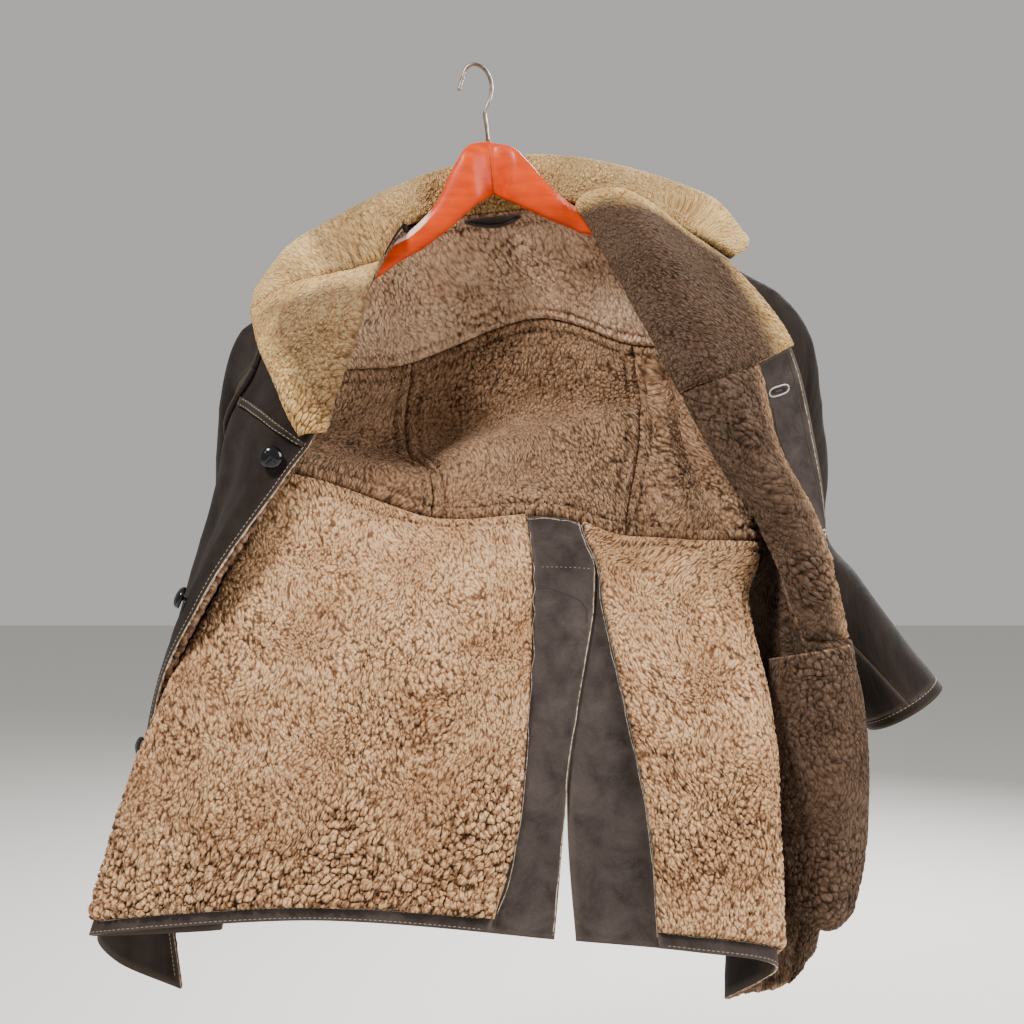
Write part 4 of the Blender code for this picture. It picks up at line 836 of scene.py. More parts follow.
# %% [markdown]
# ## The hide
# The hide itself is a closed wall: its wool side is covered, its suede side shows on the outside of the
# coat. Suede does not hang smooth, so the outside gets creases: soft ridges of noise, longer than wide, in
# two sets that cross, most on the sleeves and fading out near each piece's edges.
# %% The hide's mesh
def creases(x, y, seed, size=0.045, long=2.6, turn=0.35):
    """Uneven creases 0..1 = one minus the size of a stretched noise, sharpened; two sets that cross."""
    c, s = np.cos(turn), np.sin(turn)
    one = 1 - np.abs(soft_noise((x * c + y * s) / (size * long), (y * c - x * s) / size, seed))
    two = 1 - np.abs(soft_noise((x * c - y * s) / (size * long), (y * c + x * s) / size, seed + 1))
    return 0.6 * one ** 3 + 0.4 * two ** 3


def wall(points, front, back, ring, cut):
    """A closed shell off a grid, from back to front: its vertices, its faces and which of them are cut edge.

    The sides named in cut (t, b, l, r) show the skin.
    """
    if ring:
        normal = facing(np.concatenate((points[:, -1:], points, points[:, :1]), axis=1))[2][:, 1:-1]
    else:
        normal = facing(points)[2]
    rows, columns = points.shape[:2]
    front, back = points + normal * front, points - normal * back[..., None]
    count = rows * columns
    grid = np.arange(count).reshape(rows, columns)
    if ring:
        grid = np.concatenate((grid, grid[:, :1]), axis=1)
    sides = [grid[0], grid[-1, ::-1]] if ring else [grid[0], grid[-1, ::-1], grid[::-1, 0], grid[:, -1]]
    rim = np.concatenate([np.stack((e[:-1], e[1:], e[1:] + count, e[:-1] + count), axis=-1) for e in sides])
    pale = np.concatenate([np.full(len(e) - 1, side in cut, dtype=np.int32)
                           for e, side in zip(sides, "tblr")])
    faces = np.concatenate((quads(rows, columns, ring), quads(rows, columns, ring, count)[:, ::-1], rim))
    slots = np.zeros(len(faces), dtype=np.int32)
    slots[-len(rim):] = pale
    return np.concatenate((front.reshape(-1, 3), back.reshape(-1, 3))), faces, slots


def hide_on(name, kind, place, edges, slot, leather, front=HALF_HIDE, back=HIDE, shift=0.0, step=0.006,
            crease=0.0006, turn=0.35, seed=1, rub=0.006, ring=False, held="hung", rests=(), cut="tblr",
            lap=(0, 0, 0, 0)):
    """A hide on its surface, with its measured cut: width and length walked over the cloth, and its area.

    It passes its left, right, top and bottom lines by lap, to close onto its neighbour in a seam.
    """
    points = cloth_grid(place, edges, step, lap)
    if ring:
        points = points[:, :-1]
    points = points + facing(points)[2] * shift
    x, y = walked(points, 1), walked(points, 0)
    inset = np.minimum(np.minimum(x, x[:, -1:] - x), np.minimum(y, y[-1:] - y))
    depth = back + crease * creases(x, y, seed, turn=turn) * smooth(inset / 0.02)
    rubbed = np.clip(1 - inset / rub, 0, 1) ** 2
    uv = np.stack((x, y), axis=-1).reshape(-1, 2)
    vertices, faces, slots = wall(points, front, depth, ring, cut)
    made = made_mesh(name + kind, vertices, faces, [leather, RAW_EDGE], np.concatenate((uv, uv)),
                     {"rub": np.concatenate((rubbed, rubbed))}, slots, node=name)
    wide, long = x[:, -1].max() * (1 + ring / x.shape[1]), y[-1].max()
    cell = np.linalg.norm(np.cross(np.diff(points, axis=0)[:, :-1], np.diff(points, axis=1)[:-1]), axis=-1)
    area = min(cell.sum() * (1 + ring / x.shape[1]), wide * long)
    CUT[name + kind] = {"flat": (round(wide, 3), round(long, 3)), "area": area, "held": held,
                        "rests": list(rests), "with": []}
    return made

# %% [markdown]
# ## The back
# Above the waist seam the back is a yoke, a centre piece and two side pieces, in darker wool that has been
# combed flat by wear; the yoke is in a paler copy of the wool, painted light for the light that falls on it
# under the hanger. Below the waist hang two skirt halves in paler wool, whose curls open up and grow coarser
# to the hem, so their painted crevice shade is least at the top. The seams read as grooves with a soft roll
# of wool on each side.
# %% The back's wool and hide
SEAM = 0.0028            # height of the wool in a seam
FREE = 0.0050            # and at a free edge
MEET = 0.0003            # how far wool reaches over a seam line
OVER_EDGE = 0.0016       # and over a free edge
HUNG = 0.06              # the hanger presses the wool this far below the shoulder seam
GROOVE = 0.0020          # depth of the groove beyond the roll of wool at a seam


def cloth(name, place, edges, finish=BODICE, slot="tan_shearling", rims=(SEAM,) * 4, out=(MEET,) * 4,
          pile=0.0100, rests=(), crease=0.0006, slant=0.35, held="hung", hide_step=0.006, cut="",
          lap=(0, 0, 0, 0), **more):
    """One shearling piece: its hide, its wool, and what the cut list says of it."""
    hide_on(name, "_hide", place, edges, slot, SUEDE, crease=crease, turn=slant, step=hide_step,
            seed=more["seed"], held=held, rests=rests, cut=cut, lap=lap)
    wool_on(name, place, edges, finish, slot, pile, rims=rims, out=out, **more)


YOKE_LINE, WAIST_LINE = level(YOKE), level(WAIST)
side_r, side_l = level(B_RIGHT), level(B_LEFT)
cloth("back_yoke", body, (BACK_R, BACK_L, level(SHOULDER), YOKE_LINE), LIT_NECK_WOOL, size=0.0052, deep=0.0011,
      pressed=HUNG, stretch=1.9, turn=0.25, streak=0.0005, seed=11, double=GROOVE,
      rests=("beech_arm_r", "beech_arm_l"),
      ridges=((-0.06, 0.070, -0.02, 0.045, 0.0022, 0.007), (-0.075, 0.085, -0.035, 0.062, 0.002, 0.006),
              (0.06, 0.04, 0.085, 0.10, 0.002, 0.008), (-0.01, 0.05, 0.02, 0.10, 0.0012, 0.012)))
# The back's bodice pieces are spared the painted shade all over.
unshaded_all_over = (9.0, 0.0, 0.0, 0.0)
combed = {"double": GROOVE, "bleach": unshaded_all_over, "rests": ("back_yoke_hide",)}
cloth("back_side_r", body, (BACK_R, side_r, YOKE_LINE, WAIST_LINE), size=0.0050, deep=0.0012, stretch=1.5,
      turn=-0.2, streak=0.0004, seed=21, **combed)
cloth("back_centre", body, (side_r, side_l, YOKE_LINE, WAIST_LINE), size=0.0048, deep=0.0013, stretch=1.2,
      streak=0.0002, seed=31, **combed)
cloth("back_side_l", body, (side_l, BACK_L, YOKE_LINE, WAIST_LINE), size=0.0052, deep=0.0016, stretch=2.2,
      turn=-0.5, streak=0.0009, seed=41, **combed)
WOOL_R, WOOL_L = along(VENT_R_WOOL), along(VENT_L_WOOL)
BAND_LINE, HEM_LINE = level(BAND_TOP), level(HEM)
cloth("back_skirt_r", body, (BACK_R, WOOL_R, WAIST_LINE, BAND_LINE), TAN, rims=(SEAM, FREE, SEAM, FREE),
      out=(0.0012, 0.0, MEET, OVER_EDGE), size=0.0072, deep=0.0036, grow=(0.12, 1.25), seed=51, step=0.0014,
      cut="r", double=GROOVE, rests=("back_side_r_hide", "back_centre_hide"))
cloth("back_skirt_l", body, (WOOL_L, BACK_L, WAIST_LINE, BAND_LINE), TAN, rims=(FREE, SEAM, SEAM, FREE),
      out=(0.0, MEET, MEET, OVER_EDGE), size=0.0062, deep=0.0030, grow=(0.2, 0.95), seed=61, step=0.0014,
      cut="l", double=GROOVE, rests=("back_side_l_hide", "back_centre_hide"))
print("back", {k: v["flat"] for k, v in CUT.items()})

# %% [markdown]
# ## Suede facings and bands
# The vent's two edges, the hem and the cuffs are bound with strips of suede. They are cut raw, so each has
# a pale line along it, and topstitched a few millimetres in. A facing is flat leather, so it gets no wool
# at all.
# %% Vent facings and hem bands
STRIP = 0.0011           # half the thickness of a suede strip
VENT_DEEP = -0.0035      # the left vent facing lies behind the right one


def binding(name, place, edges, shift=0.0, leather=STRIP_SUEDE, step=0.004, crease=0.0003, **more):
    """A suede strip: a wall on its surface with a pale cut rim."""
    return hide_on(name, "_suede", place, edges, "brown_suede", leather, STRIP, STRIP, shift, step, crease,
                   rub=0.003, **more)


FREE_R, FREE_L = along(VENT_R_FREE), along(VENT_L_FREE)
for name, edges, shift, seed in (("vent_facing_r", (WOOL_R, FREE_R, WAIST_LINE, HEM_LINE), 0.0, 71),
                                 ("vent_facing_l", (FREE_L, WOOL_L, WAIST_LINE, HEM_LINE), VENT_DEEP, 72),
                                 ("hem_band_r", (BACK_R, WOOL_R, BAND_LINE, HEM_LINE), 0.0, 73),
                                 ("hem_band_l", (WOOL_L, BACK_L, BAND_LINE, HEM_LINE), 0.0, 74)):
    binding(name, body, edges, shift, seed=seed, rests=("back_skirt_%s_hide" % name[-1],))
print("bound in suede", [k for k in CUT if k.endswith("suede")])

# %% [markdown]
# ## The fronts
# The right front hangs closed side out, so its suede faces the viewer and its wool lies against the back.
# The left front is folded open: behind the fold it is the same, and in front of it come the lapel, a
# rolled strip of wool, the pocket bag inside the skirt, and the suede facing with its buttonholes.
# %% The right front
R_SEAM, L_SEAM = along(R_YOKE_SEAM), along(L_YOKE_SEAM)
EDGE_R, FOLD = level(R_EDGE), level(L_FOLD)
SHORT = -0.002           # hidden wool stops this far before the side seam
LAP, TUCK = 0.0014, 0.0006    # a front's hide passes its side seam and its yoke seam by this much
# The hidden fronts' wool takes BODICE's painted shade in full.
hidden = {"step": 0.0045, "size": 0.011, "deep": 0.0022, "pressed": HUNG, "crease": 0.0008}
cloth("front_yoke_r", body, (EDGE_R, FRONT_R, level(SHOULDER), R_SEAM), rims=(FREE, 0.0, SEAM, SEAM),
      out=(0.0, SHORT, MEET, MEET), seed=81, lap=(0, LAP, 0, TUCK), cut="l", rests=("beech_arm_r",), **hidden)
cloth("front_r", body, (EDGE_R, FRONT_R, R_SEAM, HEM_LINE), rims=(FREE, 0.0, SEAM, FREE),
      out=(0.0, SHORT, MEET, 0.0), seed=91, crease=0.0010, lap=(0, LAP, TUCK, 0), cut="lb",
      rests=("front_yoke_r_hide",), step=0.0030, size=0.008, deep=0.0026)
YOKE_BAND = 0.05         # half the raised band, in levels
CLEAR = 0.0010           # room for the creases between the front's suede and the band
around_seam = (level(R_EDGE + 0.1), level(2.85), lambda u: R_SEAM(u) - YOKE_BAND,
               lambda u: R_SEAM(u) + YOKE_BAND)
band = binding("yoke_band_r", body, around_seam, -(HIDE + STRIP + CLEAR), SUEDE, rests=("front_r_hide",),
               cut="")
CUT["front_r_hide"]["with"].append(band)
del CUT["yoke_band_r_suede"]     # 8 mm wide, so it counts as trim on the front

# %% The left front
cloth("front_yoke_l", body, (FRONT_L, FOLD, level(SHOULDER), L_SEAM), rims=(0.0, FREE, SEAM, SEAM),
      out=(SHORT, 0.0, MEET, MEET), seed=101, lap=(LAP, 0, 0, TUCK), rests=("beech_arm_l",), **hidden)
cloth("front_l", body, (FRONT_L, FOLD, L_SEAM, HEM_LINE), pile=0.0080, rims=(0.0, FREE, SEAM, FREE),
      out=(SHORT, 0.0, MEET, 0.0), seed=111, crease=0.0010, lap=(LAP, 0, TUCK, 0), cut="b",
      rests=("front_yoke_l_hide",), step=0.0035, size=0.008, deep=0.0026)
FOOT, ROLL, EDGE_L, TURN = along(LAPEL_FOOT), level(F_ROLL), level(F_EDGE), level(F_FOLD)
# Painted light and shade: the lapel's right and top rims stay pale, a painted lit rim; its inner field takes
# the painted shade.
cloth("lapel_l", left_face, (TURN, EDGE_L, level(SHOULDER), FOOT), COLLAR_WOOL, "collar_shearling",
      rims=(FREE, FREE, SEAM, 0.004), out=(0.0, OVER_EDGE, MEET, MEET), size=0.0040, deep=0.0008, seed=121,
      fine=0.0007, bleach=(0.0, 0.026, 0.022, 0.0), step=0.0014, rests=("front_yoke_l_hide",), held="folded")
# Painted shade: the strip, the skirt and the pocket bag take BODICE's shade_colour; the strip is spared it
# towards its roll, a painted lit rim.
cloth("front_strip_l", left_face, (TURN, ROLL, FOOT, level(STRIP_FOOT)), rims=(0.003, 0.003, 0.003, SEAM),
      out=(0.0, 0.0, MEET, MEET), size=0.0042, deep=0.0022, stretch=3.0, turn=-0.6, streak=0.0012,
      width=0.015, seed=131, step=0.0013, bleach=(0.0, 0.016, 0.0, 0.0), rests=("lapel_l_hide",),
      held="folded")
cloth("front_skirt_l", left_face, (TURN, ROLL, level(STRIP_FOOT), HEM_LINE), rims=(FREE, FREE, SEAM, FREE),
      out=(0.0, 0.0, MEET, OVER_EDGE), size=0.0060, deep=0.0018, seed=141, rests=("front_strip_l_hide",),
      held="folded")
binding("front_facing_l", left_face, (ROLL, EDGE_L, FOOT, HEM_LINE), seed=75, rests=("front_strip_l_hide",),
        held="folded", crease=0.0005)
cloth("pocket_bag_l", pocket, bounds(0, 2, 0, 4), pile=0.0130, rims=(FREE,) * 4, out=(OVER_EDGE,) * 4,
      size=0.0056, deep=0.0015, width=0.016, seed=151, cut="tblr", streak=0.0003,
      rests=("front_skirt_l_hide",))
print("fronts", {k: v["flat"] for k, v in CUT.items() if k.startswith("front")})

# %% [markdown]
# ## Collar and lapel
# The collar is cut wool side out. It stands round the neck, rolls over and falls to a soft edge whose wool
# is shorter; painted shade darkens the stand and fades out towards the edge, so the fall shows paler. The
# lapel is the corner of the right front turned out.
# %% Collar, lapel and neck patch
OPEN_RIM = 0.0042        # height of the wool where lapel and collar meet at the right gorge
# Painted light and shade: the lapel's outer edge and gorge stay pale, a painted lit rim; elsewhere it keeps
# part of the painted shade.
cloth("lapel_r", lapel_r, bounds(0, LAPEL_ENDS, 0, LAPEL_ENDS), COLLAR_WOOL,
      "collar_shearling", rims=(FREE, 0.004, OPEN_RIM, FREE), out=(OVER_EDGE, 0.0, 0.0012, OVER_EDGE),
      size=0.0046, deep=0.0022, grow=(0.5, 1.1), seed=161, fine=0.0009, step=0.0012,
      bleach=(0.035, 0.0, 0.030, 0.0), even=0.28, rests=("front_yoke_r_hide",), held="folded")
# Painted shade darkens the collar's stand by the seam and fades out towards its outer edge.
cloth("collar", collar, bounds(0, GORGE_L, 0, COLLAR_EDGE), COLLAR_WOOL,
      "collar_shearling", rims=(OPEN_RIM, SEAM, FREE, SEAM), out=(0.0012, MEET, OVER_EDGE, MEET), size=0.0042,
      deep=0.0012, grow=(0.2, 1.3), seed=171, fine=0.0007, bleach=(0.0, 0.0, 0.120, 0.0), even=0.62,
      step=0.0014, rests=("back_yoke_hide",), held="folded")
# station, level of the patch's round foot
PATCH_FOOT = ((7.62, 1.07), (7.75, 1.12), (7.97, 1.15), (8.18, 1.12), (8.3, 1.07))
# station, level of the hanging loop along it
LOOP = ((7.66, 1.06), (7.80, 1.10), (7.97, 1.115), (8.14, 1.10), (8.27, 1.06))
PATCH_OUT = 0.0038 + STRIP + 0.0014    # wool pressed at the neck, half the patch, and room for lumps
binding("neck_patch", body, (level(7.62), level(8.3), level(1.03), along(PATCH_FOOT)), PATCH_OUT, step=0.0025,
        seed=76, rests=("back_yoke_hide",))
print("collar", CUT["collar_hide"]["flat"], "lapel", CUT["lapel_r_hide"]["flat"])

# %% [markdown]
# ## Sleeves
# Each sleeve is two pieces, joined along its front and back, with a suede cuff band. Its wool is inside
# and shows only at the cuff's mouth. The suede outside creases across the arm.
# %% Sleeves and cuffs
SLEEVE_PILE = 0.0045
ARMPIT = 0.14
ARMS = (("l", SLEEVE_L, L_SIDE_OF_BACK, L_SIDE_OF_FRONT, -1),
        ("r", SLEEVE_R, R_SIDE_OF_BACK, R_SIDE_OF_FRONT, 1))
for side, rows, back, front, turn in ARMS:
    arm, end = sleeve(rows, back, front, turn), len(rows)
    for part, low, high in (("top", -0.25, 0.25), ("under", 0.25, 0.75)):
        # The sleeves' wool takes BODICE's painted shade in full, for the dark inside the cuff's mouth.
        cloth("sleeve_%s_%s" % (part, side), arm, bounds(low, high, 0, end - CUFF), pile=SLEEVE_PILE,
              rims=(0.0018,) * 4, out=(0.0,) * 4, step=0.0042, size=0.009, deep=0.0010, pressed=ARMPIT,
              crease=0.0018, slant=0.25, hide_step=0.005, seed=200 + 10 * end + turn,
              rests=("front_yoke_%s_hide" % side, "back_yoke_hide"))
    binding("cuff_" + side, arm, bounds(0, 1, end - CUFF + 0.003, end), leather=SUEDE,
            ring=True, seed=77, rests=("sleeve_top_%s_hide" % side,))
print("sheets so far", len(CUT))

# %% [markdown]
# ## Stitching
# Topstitching is a row of short dashes a few millimetres from an edge, each pulled a little into the
# leather. Every dash here is the same small faceted spindle, laid along a line on its surface; one row is
# one mesh.
# %% Rows of stitches
def row_on(place, u, v, off, count=160):
    """Points and outward normals along a line of (station, level), off metres from the middle of the hide."""
    share = np.linspace(0, 1, len(u))
    fine = np.linspace(0, 1, count)
    u, v = np.interp(fine, share, u), np.interp(fine, share, v)
    normal = lean(place, u, v)
    return place(u, v) + normal * off, normal * np.sign(off)


def circle(side, rise, count):
    """Points round a circle in the plane of two unit vectors: cos * side + sin * rise."""
    angle = np.arange(count)[:, None] * 2 * pi / count
    return np.cos(angle) * side[..., None, :] + np.sin(angle) * rise[..., None, :]


def tube(line, side, rise, radius, count):
    """Circles along a line, closed with a point at each end."""
    rings = line[:, None] + radius * circle(side, rise, count)
    return np.concatenate((line[:1, None].repeat(count, 1), rings, line[-1:, None].repeat(count, 1)))


def stitches(name, owner, place, lines, off, finish=THREAD, pitch=0.0046, dash=0.0032, radius=0.00038,
             across=False):
    """Spindles at even steps along each line: rings of five points at four places along each dash."""
    found = []
    for line in lines:
        points, normals = row_on(place, *line, off)
        gone = walked(points, 0)
        at = np.arange(pitch, gone[-1] - pitch / 2, pitch)
        found.append([np.stack([np.interp(at, gone, row) for row in a.T], axis=1)
                      for a in (points, normals, np.gradient(points, axis=0))])
    centre, up, way = (np.concatenate(a) for a in zip(*found))
    way = unit(np.cross(way, up) if across else way)
    side = unit(np.cross(way, up))
    rise = np.cross(side, way)[:, None, None]
    where = np.array((-0.5, -0.3, 0.3, 0.5))[:, None, None] * dash
    thick = np.array((0.3, 1.0, 1.0, 0.3))[:, None, None] * radius
    dip = np.array((-1.1, 0.0, 0.0, -1.1))[:, None, None] * radius
    points = centre[:, None, None] + where * way[:, None, None] + dip * rise
    points = points + thick * circle(side, rise[:, 0, 0], 5)[:, None]
    ends = ((0, 4, 3, 2), (0, 2, 1, 0), (15, 16, 17, 18), (15, 18, 19, 15))
    one = np.concatenate((quads(4, 5, ring=True), ends))
    faces = (one[None] + 20 * np.arange(len(centre))[:, None, None]).reshape(-1, 4).tolist()
    faces = [f[:3] if f[0] == f[3] else f for f in faces]    # a quad back at its first point is a triangle
    made_mesh(name, points.reshape(-1, 3), faces, [finish], owner=owner)


def cords(name, owner, place, lines, off, finish=RAW_EDGE, radius=0.0005):
    """Thin round cords along lines."""
    vertices, faces, count = [], [], 0
    for line in lines:
        points, up = row_on(place, *line, off)
        way = np.gradient(points, axis=0)
        side = unit(np.cross(way, up))
        made = tube(points, side, unit(np.cross(side, way)), radius, 5)
        vertices.append(made.reshape(-1, 3))
        faces.append(quads(len(made), 5, ring=True) + count)
        count += len(made) * 5
    made_mesh(name, np.concatenate(vertices), np.concatenate(faces), [finish], owner=owner)


def down_line(line, inset, v0, v1, seed=None):
    """Beside an edge line from one level to another; a seed makes it wander, like leather cut by hand."""
    if seed is None:
        v = np.linspace(v0, v1, 24)
        return line(v) + inset, v
    v = np.linspace(v0, v1, 120)
    return line(v) + inset + 0.008 * soft_noise(v * 9, v * 0, seed), v


def across_line(line, u0, u1, seed=None):
    """The same along a level line, from one station to another."""
    if seed is None:
        u = np.linspace(u0, u1, 24)
        return u, line(u)
    u = np.linspace(u0, u1, 90)
    return u, line(u) + 0.010 * soft_noise(u * 11, u * 0, seed)


def mouth(arm):
    """A sleeve's surface for a single row of places."""
    return lambda u, v: arm(u[None], v[None])[0]


# %% [markdown]
# ## Where the rows run
# Thread follows the edges that are sewn down, a few millimetres in. An edge that is only cut shows its
# skin as a pale cord, and a seam that is turned under suede stands up as a dark welt. Each lies off the
# middle of its hide by half of what is under it.
# %% Stitches, raw edges and welts
ON = 0.0012                                     # thread on a thin strip
OUTSIDE = -(HIDE + 0.0022)                      # thread on creased suede
ON_BAND = -(HIDE + STRIP + CLEAR + 0.0013)      # thread on the yoke's band
LIFTED = 0.0010                                 # a raw edge curls up this far
VENT, FACING = "vent_facing_r_suede", "front_facing_l_suede"
stitches("vent_r_stitches", VENT, body, [across_line(level(4.65), 7.81, 8.26)], ON, dash=0.0022)
cords("vent_r_fold", VENT, body, [((7.80, 7.95, 8.08, 8.12, 8.11), (4.85, 4.93, 5.01, 5.08, 5.2))], 0.0007,
      STRIP_SUEDE, 0.0010)
cords("vent_r_raw_edges", VENT, body,
      [down_line(WOOL_R, 0.012, 4.0, 6.9, 5), down_line(FREE_R, -0.008, 4.0, 6.98, 6),
       across_line(level(4.03), 7.78, 8.32, 7)], LIFTED)
cords("vent_l_raw_edges", "vent_facing_l_suede", body, [down_line(WOOL_L, -0.012, 4.4, 6.95, 8)],
      LIFTED + VENT_DEEP, radius=0.0004)
for side, start, stop, seed in (("r", 6.0, 7.66, 9), ("l", 8.72, 10.2, 10)):
    cords("hem_raw_edges_" + side, "hem_band_%s_suede" % side, body,
          [across_line(level(BAND_TOP + 0.008), start, stop, seed)], LIFTED, radius=0.0003)
for side, start, stop in (("r", 5.95, 7.62), ("l", 8.75, 10.2)):
    stitches("hem_stitches_" + side, "hem_band_%s_suede" % side, body,
             [across_line(level(row), start, stop) for row in (6.93, 6.985)], ON)
stitches("yoke_stitches_r", "front_r_hide", body,
         [across_line(lambda u: R_SEAM(u) + d, R_EDGE + 0.12, 2.82) for d in (-0.036, 0.036)], ON_BAND)
stitches("front_edge_stitches_r", "front_r_hide", body, [down_line(EDGE_R, 0.06, 3.15, 6.95)], OUTSIDE)
cords("facing_folds_l", FACING, left_face,
      [down_line(EDGE_L, -0.20, 2.12, 6.9, 11), down_line(ROLL, 0.10, 2.6, 6.9, 12)], 0.0005, STRIP_SUEDE,
      0.0011)
cords("facing_raw_edge_l", FACING, left_face, [down_line(EDGE_L, -0.07, 2.10, 6.95, 13)], LIFTED,
      radius=0.0004)
around = np.linspace(0.4, GORGE_L - 0.4, 60)
cords("neck_welt", "collar_hide", collar, [(around, np.full(60, 2.97))], -0.0015, SUEDE, 0.0030)
cords("neck_corners", "collar_hide", collar,
      [(np.linspace(s, s + 1.4, 20), np.full(20, 3.04)) for s in (1.6, 5.2)], -0.003, SUEDE, 0.0045)
for (side, rows, back, front, turn), line in zip(ARMS[::-1], (FRONT_R, FRONT_L)):
    hole, ring = mouth(sleeve(rows, back, front, turn)), np.linspace(-0.25, 0.75, 90)
    cords("armhole_welt_" + side, "front_yoke_%s_hide" % side, body,
          [down_line(line, 0.0, SHOULDER + 0.05, 3.6)], -(HIDE + 0.0006), SUEDE, 0.0021)
    cords("armhole_fold_" + side, "sleeve_top_%s_hide" % side, hole, [(ring, np.full(90, 0.02))], 0.0024,
          SUEDE, 0.0032)
    stitches("cuff_stitches_" + side, "cuff_%s_suede" % side, hole,
             [(ring, np.full(90, len(rows) - CUFF + 0.035))], -ON - 0.0002)

# %% [markdown]
# ## Buttonholes
# A worked buttonhole is a slit whose edge is covered with close, radial stitches of thick pale thread. The
# slit is a near-black lens let into the strip, painted shade for the dark of the opening; the stitches
# stand round it.
# %% Buttonholes on the left facing
# Painted shade: the slit's near-black stands for the shade inside the opening.
SLIT_SHADE = plain("slit in the leather", "0D0A08", Roughness=0.95)


def bent_to(power, wave):
    """A wave squared off: its sign times its size to a power below one."""
    return np.sign(wave) * np.abs(wave) ** power


def buttonhole(name, u, v, long_u=0.26, rise=0.022, tall=0.040):
    """A ring of short stitches square to a long oval round (u, v), and the slit inside it."""
    angle = np.linspace(0, 2 * pi, 120)
    reach, wide = bent_to(0.6, np.cos(angle)), bent_to(0.8, np.sin(angle))
    ring_u, ring_v = u + long_u * reach - rise * 0.3 * wide, v - rise * reach + tall * wide
    stitches(name + "_stitches", FACING, left_face, [(ring_u, ring_v)], 0.0014, PALE_THREAD, pitch=0.0010,
             dash=0.0017, radius=0.00042, across=True)
    inner = np.linspace(0, 1, 5)[:, None]
    slit_u, slit_v = u + (ring_u - u) * 0.72 * inner, v + (ring_v - v) * 0.5 * inner
    sunk = 0.00135 - 0.0005 * (1 - inner[..., None])
    face = left_face(slit_u, slit_v) + lean(left_face, slit_u, slit_v) * sunk
    made_mesh(name + "_slit", face.reshape(-1, 3), quads(5, 120)[:, ::-1], [SLIT_SHADE],
              owner=FACING)


for count, (u, v) in enumerate(((3.35, 2.45), (3.5, 4.15), (3.5, 5.5)), 1):
    buttonhole("buttonhole_%d" % count, u, v)

# %% [markdown]
# ## Buttons
# The buttons are cast resin made to look like a leather knot: a glossy dome with a plaited face of a few
# crossed pads, on a shank. The face is one grid turned round the shank's axis, its pads pressed in as
# grooves.
# %% Knotted buttons
BLACK = plain("cast black resin button", "0B0B0D", Roughness=0.16, Specular_Ior_Level=0.3, Coat_Weight=0.25,
              Coat_Roughness=0.06)
# radius, height of the profile from the shank's foot to the middle of the dome, mm
BUTTON = ((0, 0), (2.3, 0), (2.3, 4.0), (9.8, 4.4), (11.0, 6.0), (10.4, 8.2), (8.0, 10.2), (4.4, 11.5),
          (0, 12.0))
BUTTON_RADIUS, ROUND_BUTTON = 0.011, 64
# station and level of each button's place, and how far its shank is let in, mm
BUTTONS = ((1.50, 3.58, 0.0), (1.52, 5.02, 0.8), (1.50, 6.05, 1.4))


def crossing(across):
    """Soft grooves at even steps across."""
    return np.exp(-(np.sin(1.6 * across) / 0.16) ** 2)


profile = weights(np.linspace(0, len(BUTTON) - 1, 41), len(BUTTON)) @ np.array(BUTTON, dtype=float)
radius, height = profile.T.clip(0)[:, :, None] / 1000
angle = np.arange(ROUND_BUTTON) * 2 * pi / ROUND_BUTTON
x, y = [radius * wave(angle) / BUTTON_RADIUS for wave in (np.cos, np.sin)]
groove = np.where(x > y, crossing(x + y), crossing(x - y)) * smooth((height - 0.0055) / 0.003)
for number, (u, v, inset) in enumerate(BUTTONS, 1):
    out = -lean(body, np.array(u), np.array(v))
    foot = body(np.array(u), np.array(v)) + out * (HIDE - inset / 1000)
    side = unit(np.cross(out, (0, 0, 1)))
    points = foot + (height - 0.0007 * groove)[..., None] * out
    points = points + radius[..., None] * circle(side, np.cross(side, out), ROUND_BUTTON)
    made_mesh("knot_button_%d" % number, points.reshape(-1, 3), quads(41, ROUND_BUTTON, ring=True), [BLACK],
              node="button_%d" % number)

# %% [markdown]
# ## The hanger
# A wishbone hanger of steamed beech, sprayed with several coats of orange lacquer: it is bright, smooth
# and clear at the surface. Along the top of both arms the lacquer is painted pale, most on the right arm:
# partly where the coat's shoulder has rubbed through it to primer and pale wood, partly painted highlight
# where light falls on the rounded top edge. The hook is plain steel wire, faintly rusted.
# %% Lacquer, paled by the `worn` attribute (rubbed wear and painted highlight), and steel
LACQUER, tree, shader = material("orange lacquered beech", Roughness=0.45, Specular_Ior_Level=0.15,
                                 Coat_Weight=0.08, Coat_Roughness=0.2)
where = add(tree, "TexCoord", out="Object")
grain = add(tree, "Mapping", {0: where, 3: (12.0, 60.0, 60.0)})
tones = ramp(tree, noise(tree, grain, 0.5, 4.0), (0.35, 0.7), "BE3400 D24400")
# Wear and painted highlight: the `worn` attribute plus noise turns the lacquer pale along the arms' tops.
wear_and_top_highlight = maths(tree, "ADD", attribute(tree, "worn"), noise(tree, where, 0.006, 5.0, 0.75))
share = add(tree, "Math", {"operation": "MULTIPLY_ADD", "use_clamp": True, 0: wear_and_top_highlight, 1: 1.6, 2: -1.0})
bump = add(tree, "Bump", {"Height": noise(tree, where, 0.02, 2.0), "Strength": 0.15, "Distance": 0.001})
feed(shader, {"Base Color": blend(tree, share, tones, linear("F4D3BE")), "Normal": bump})
STEEL = speckled("drawn steel wire, tarnished", 0.008, (0.4, 0.7), "8C8478 6E4B38", Metallic=1.0,
                 Roughness=0.35)

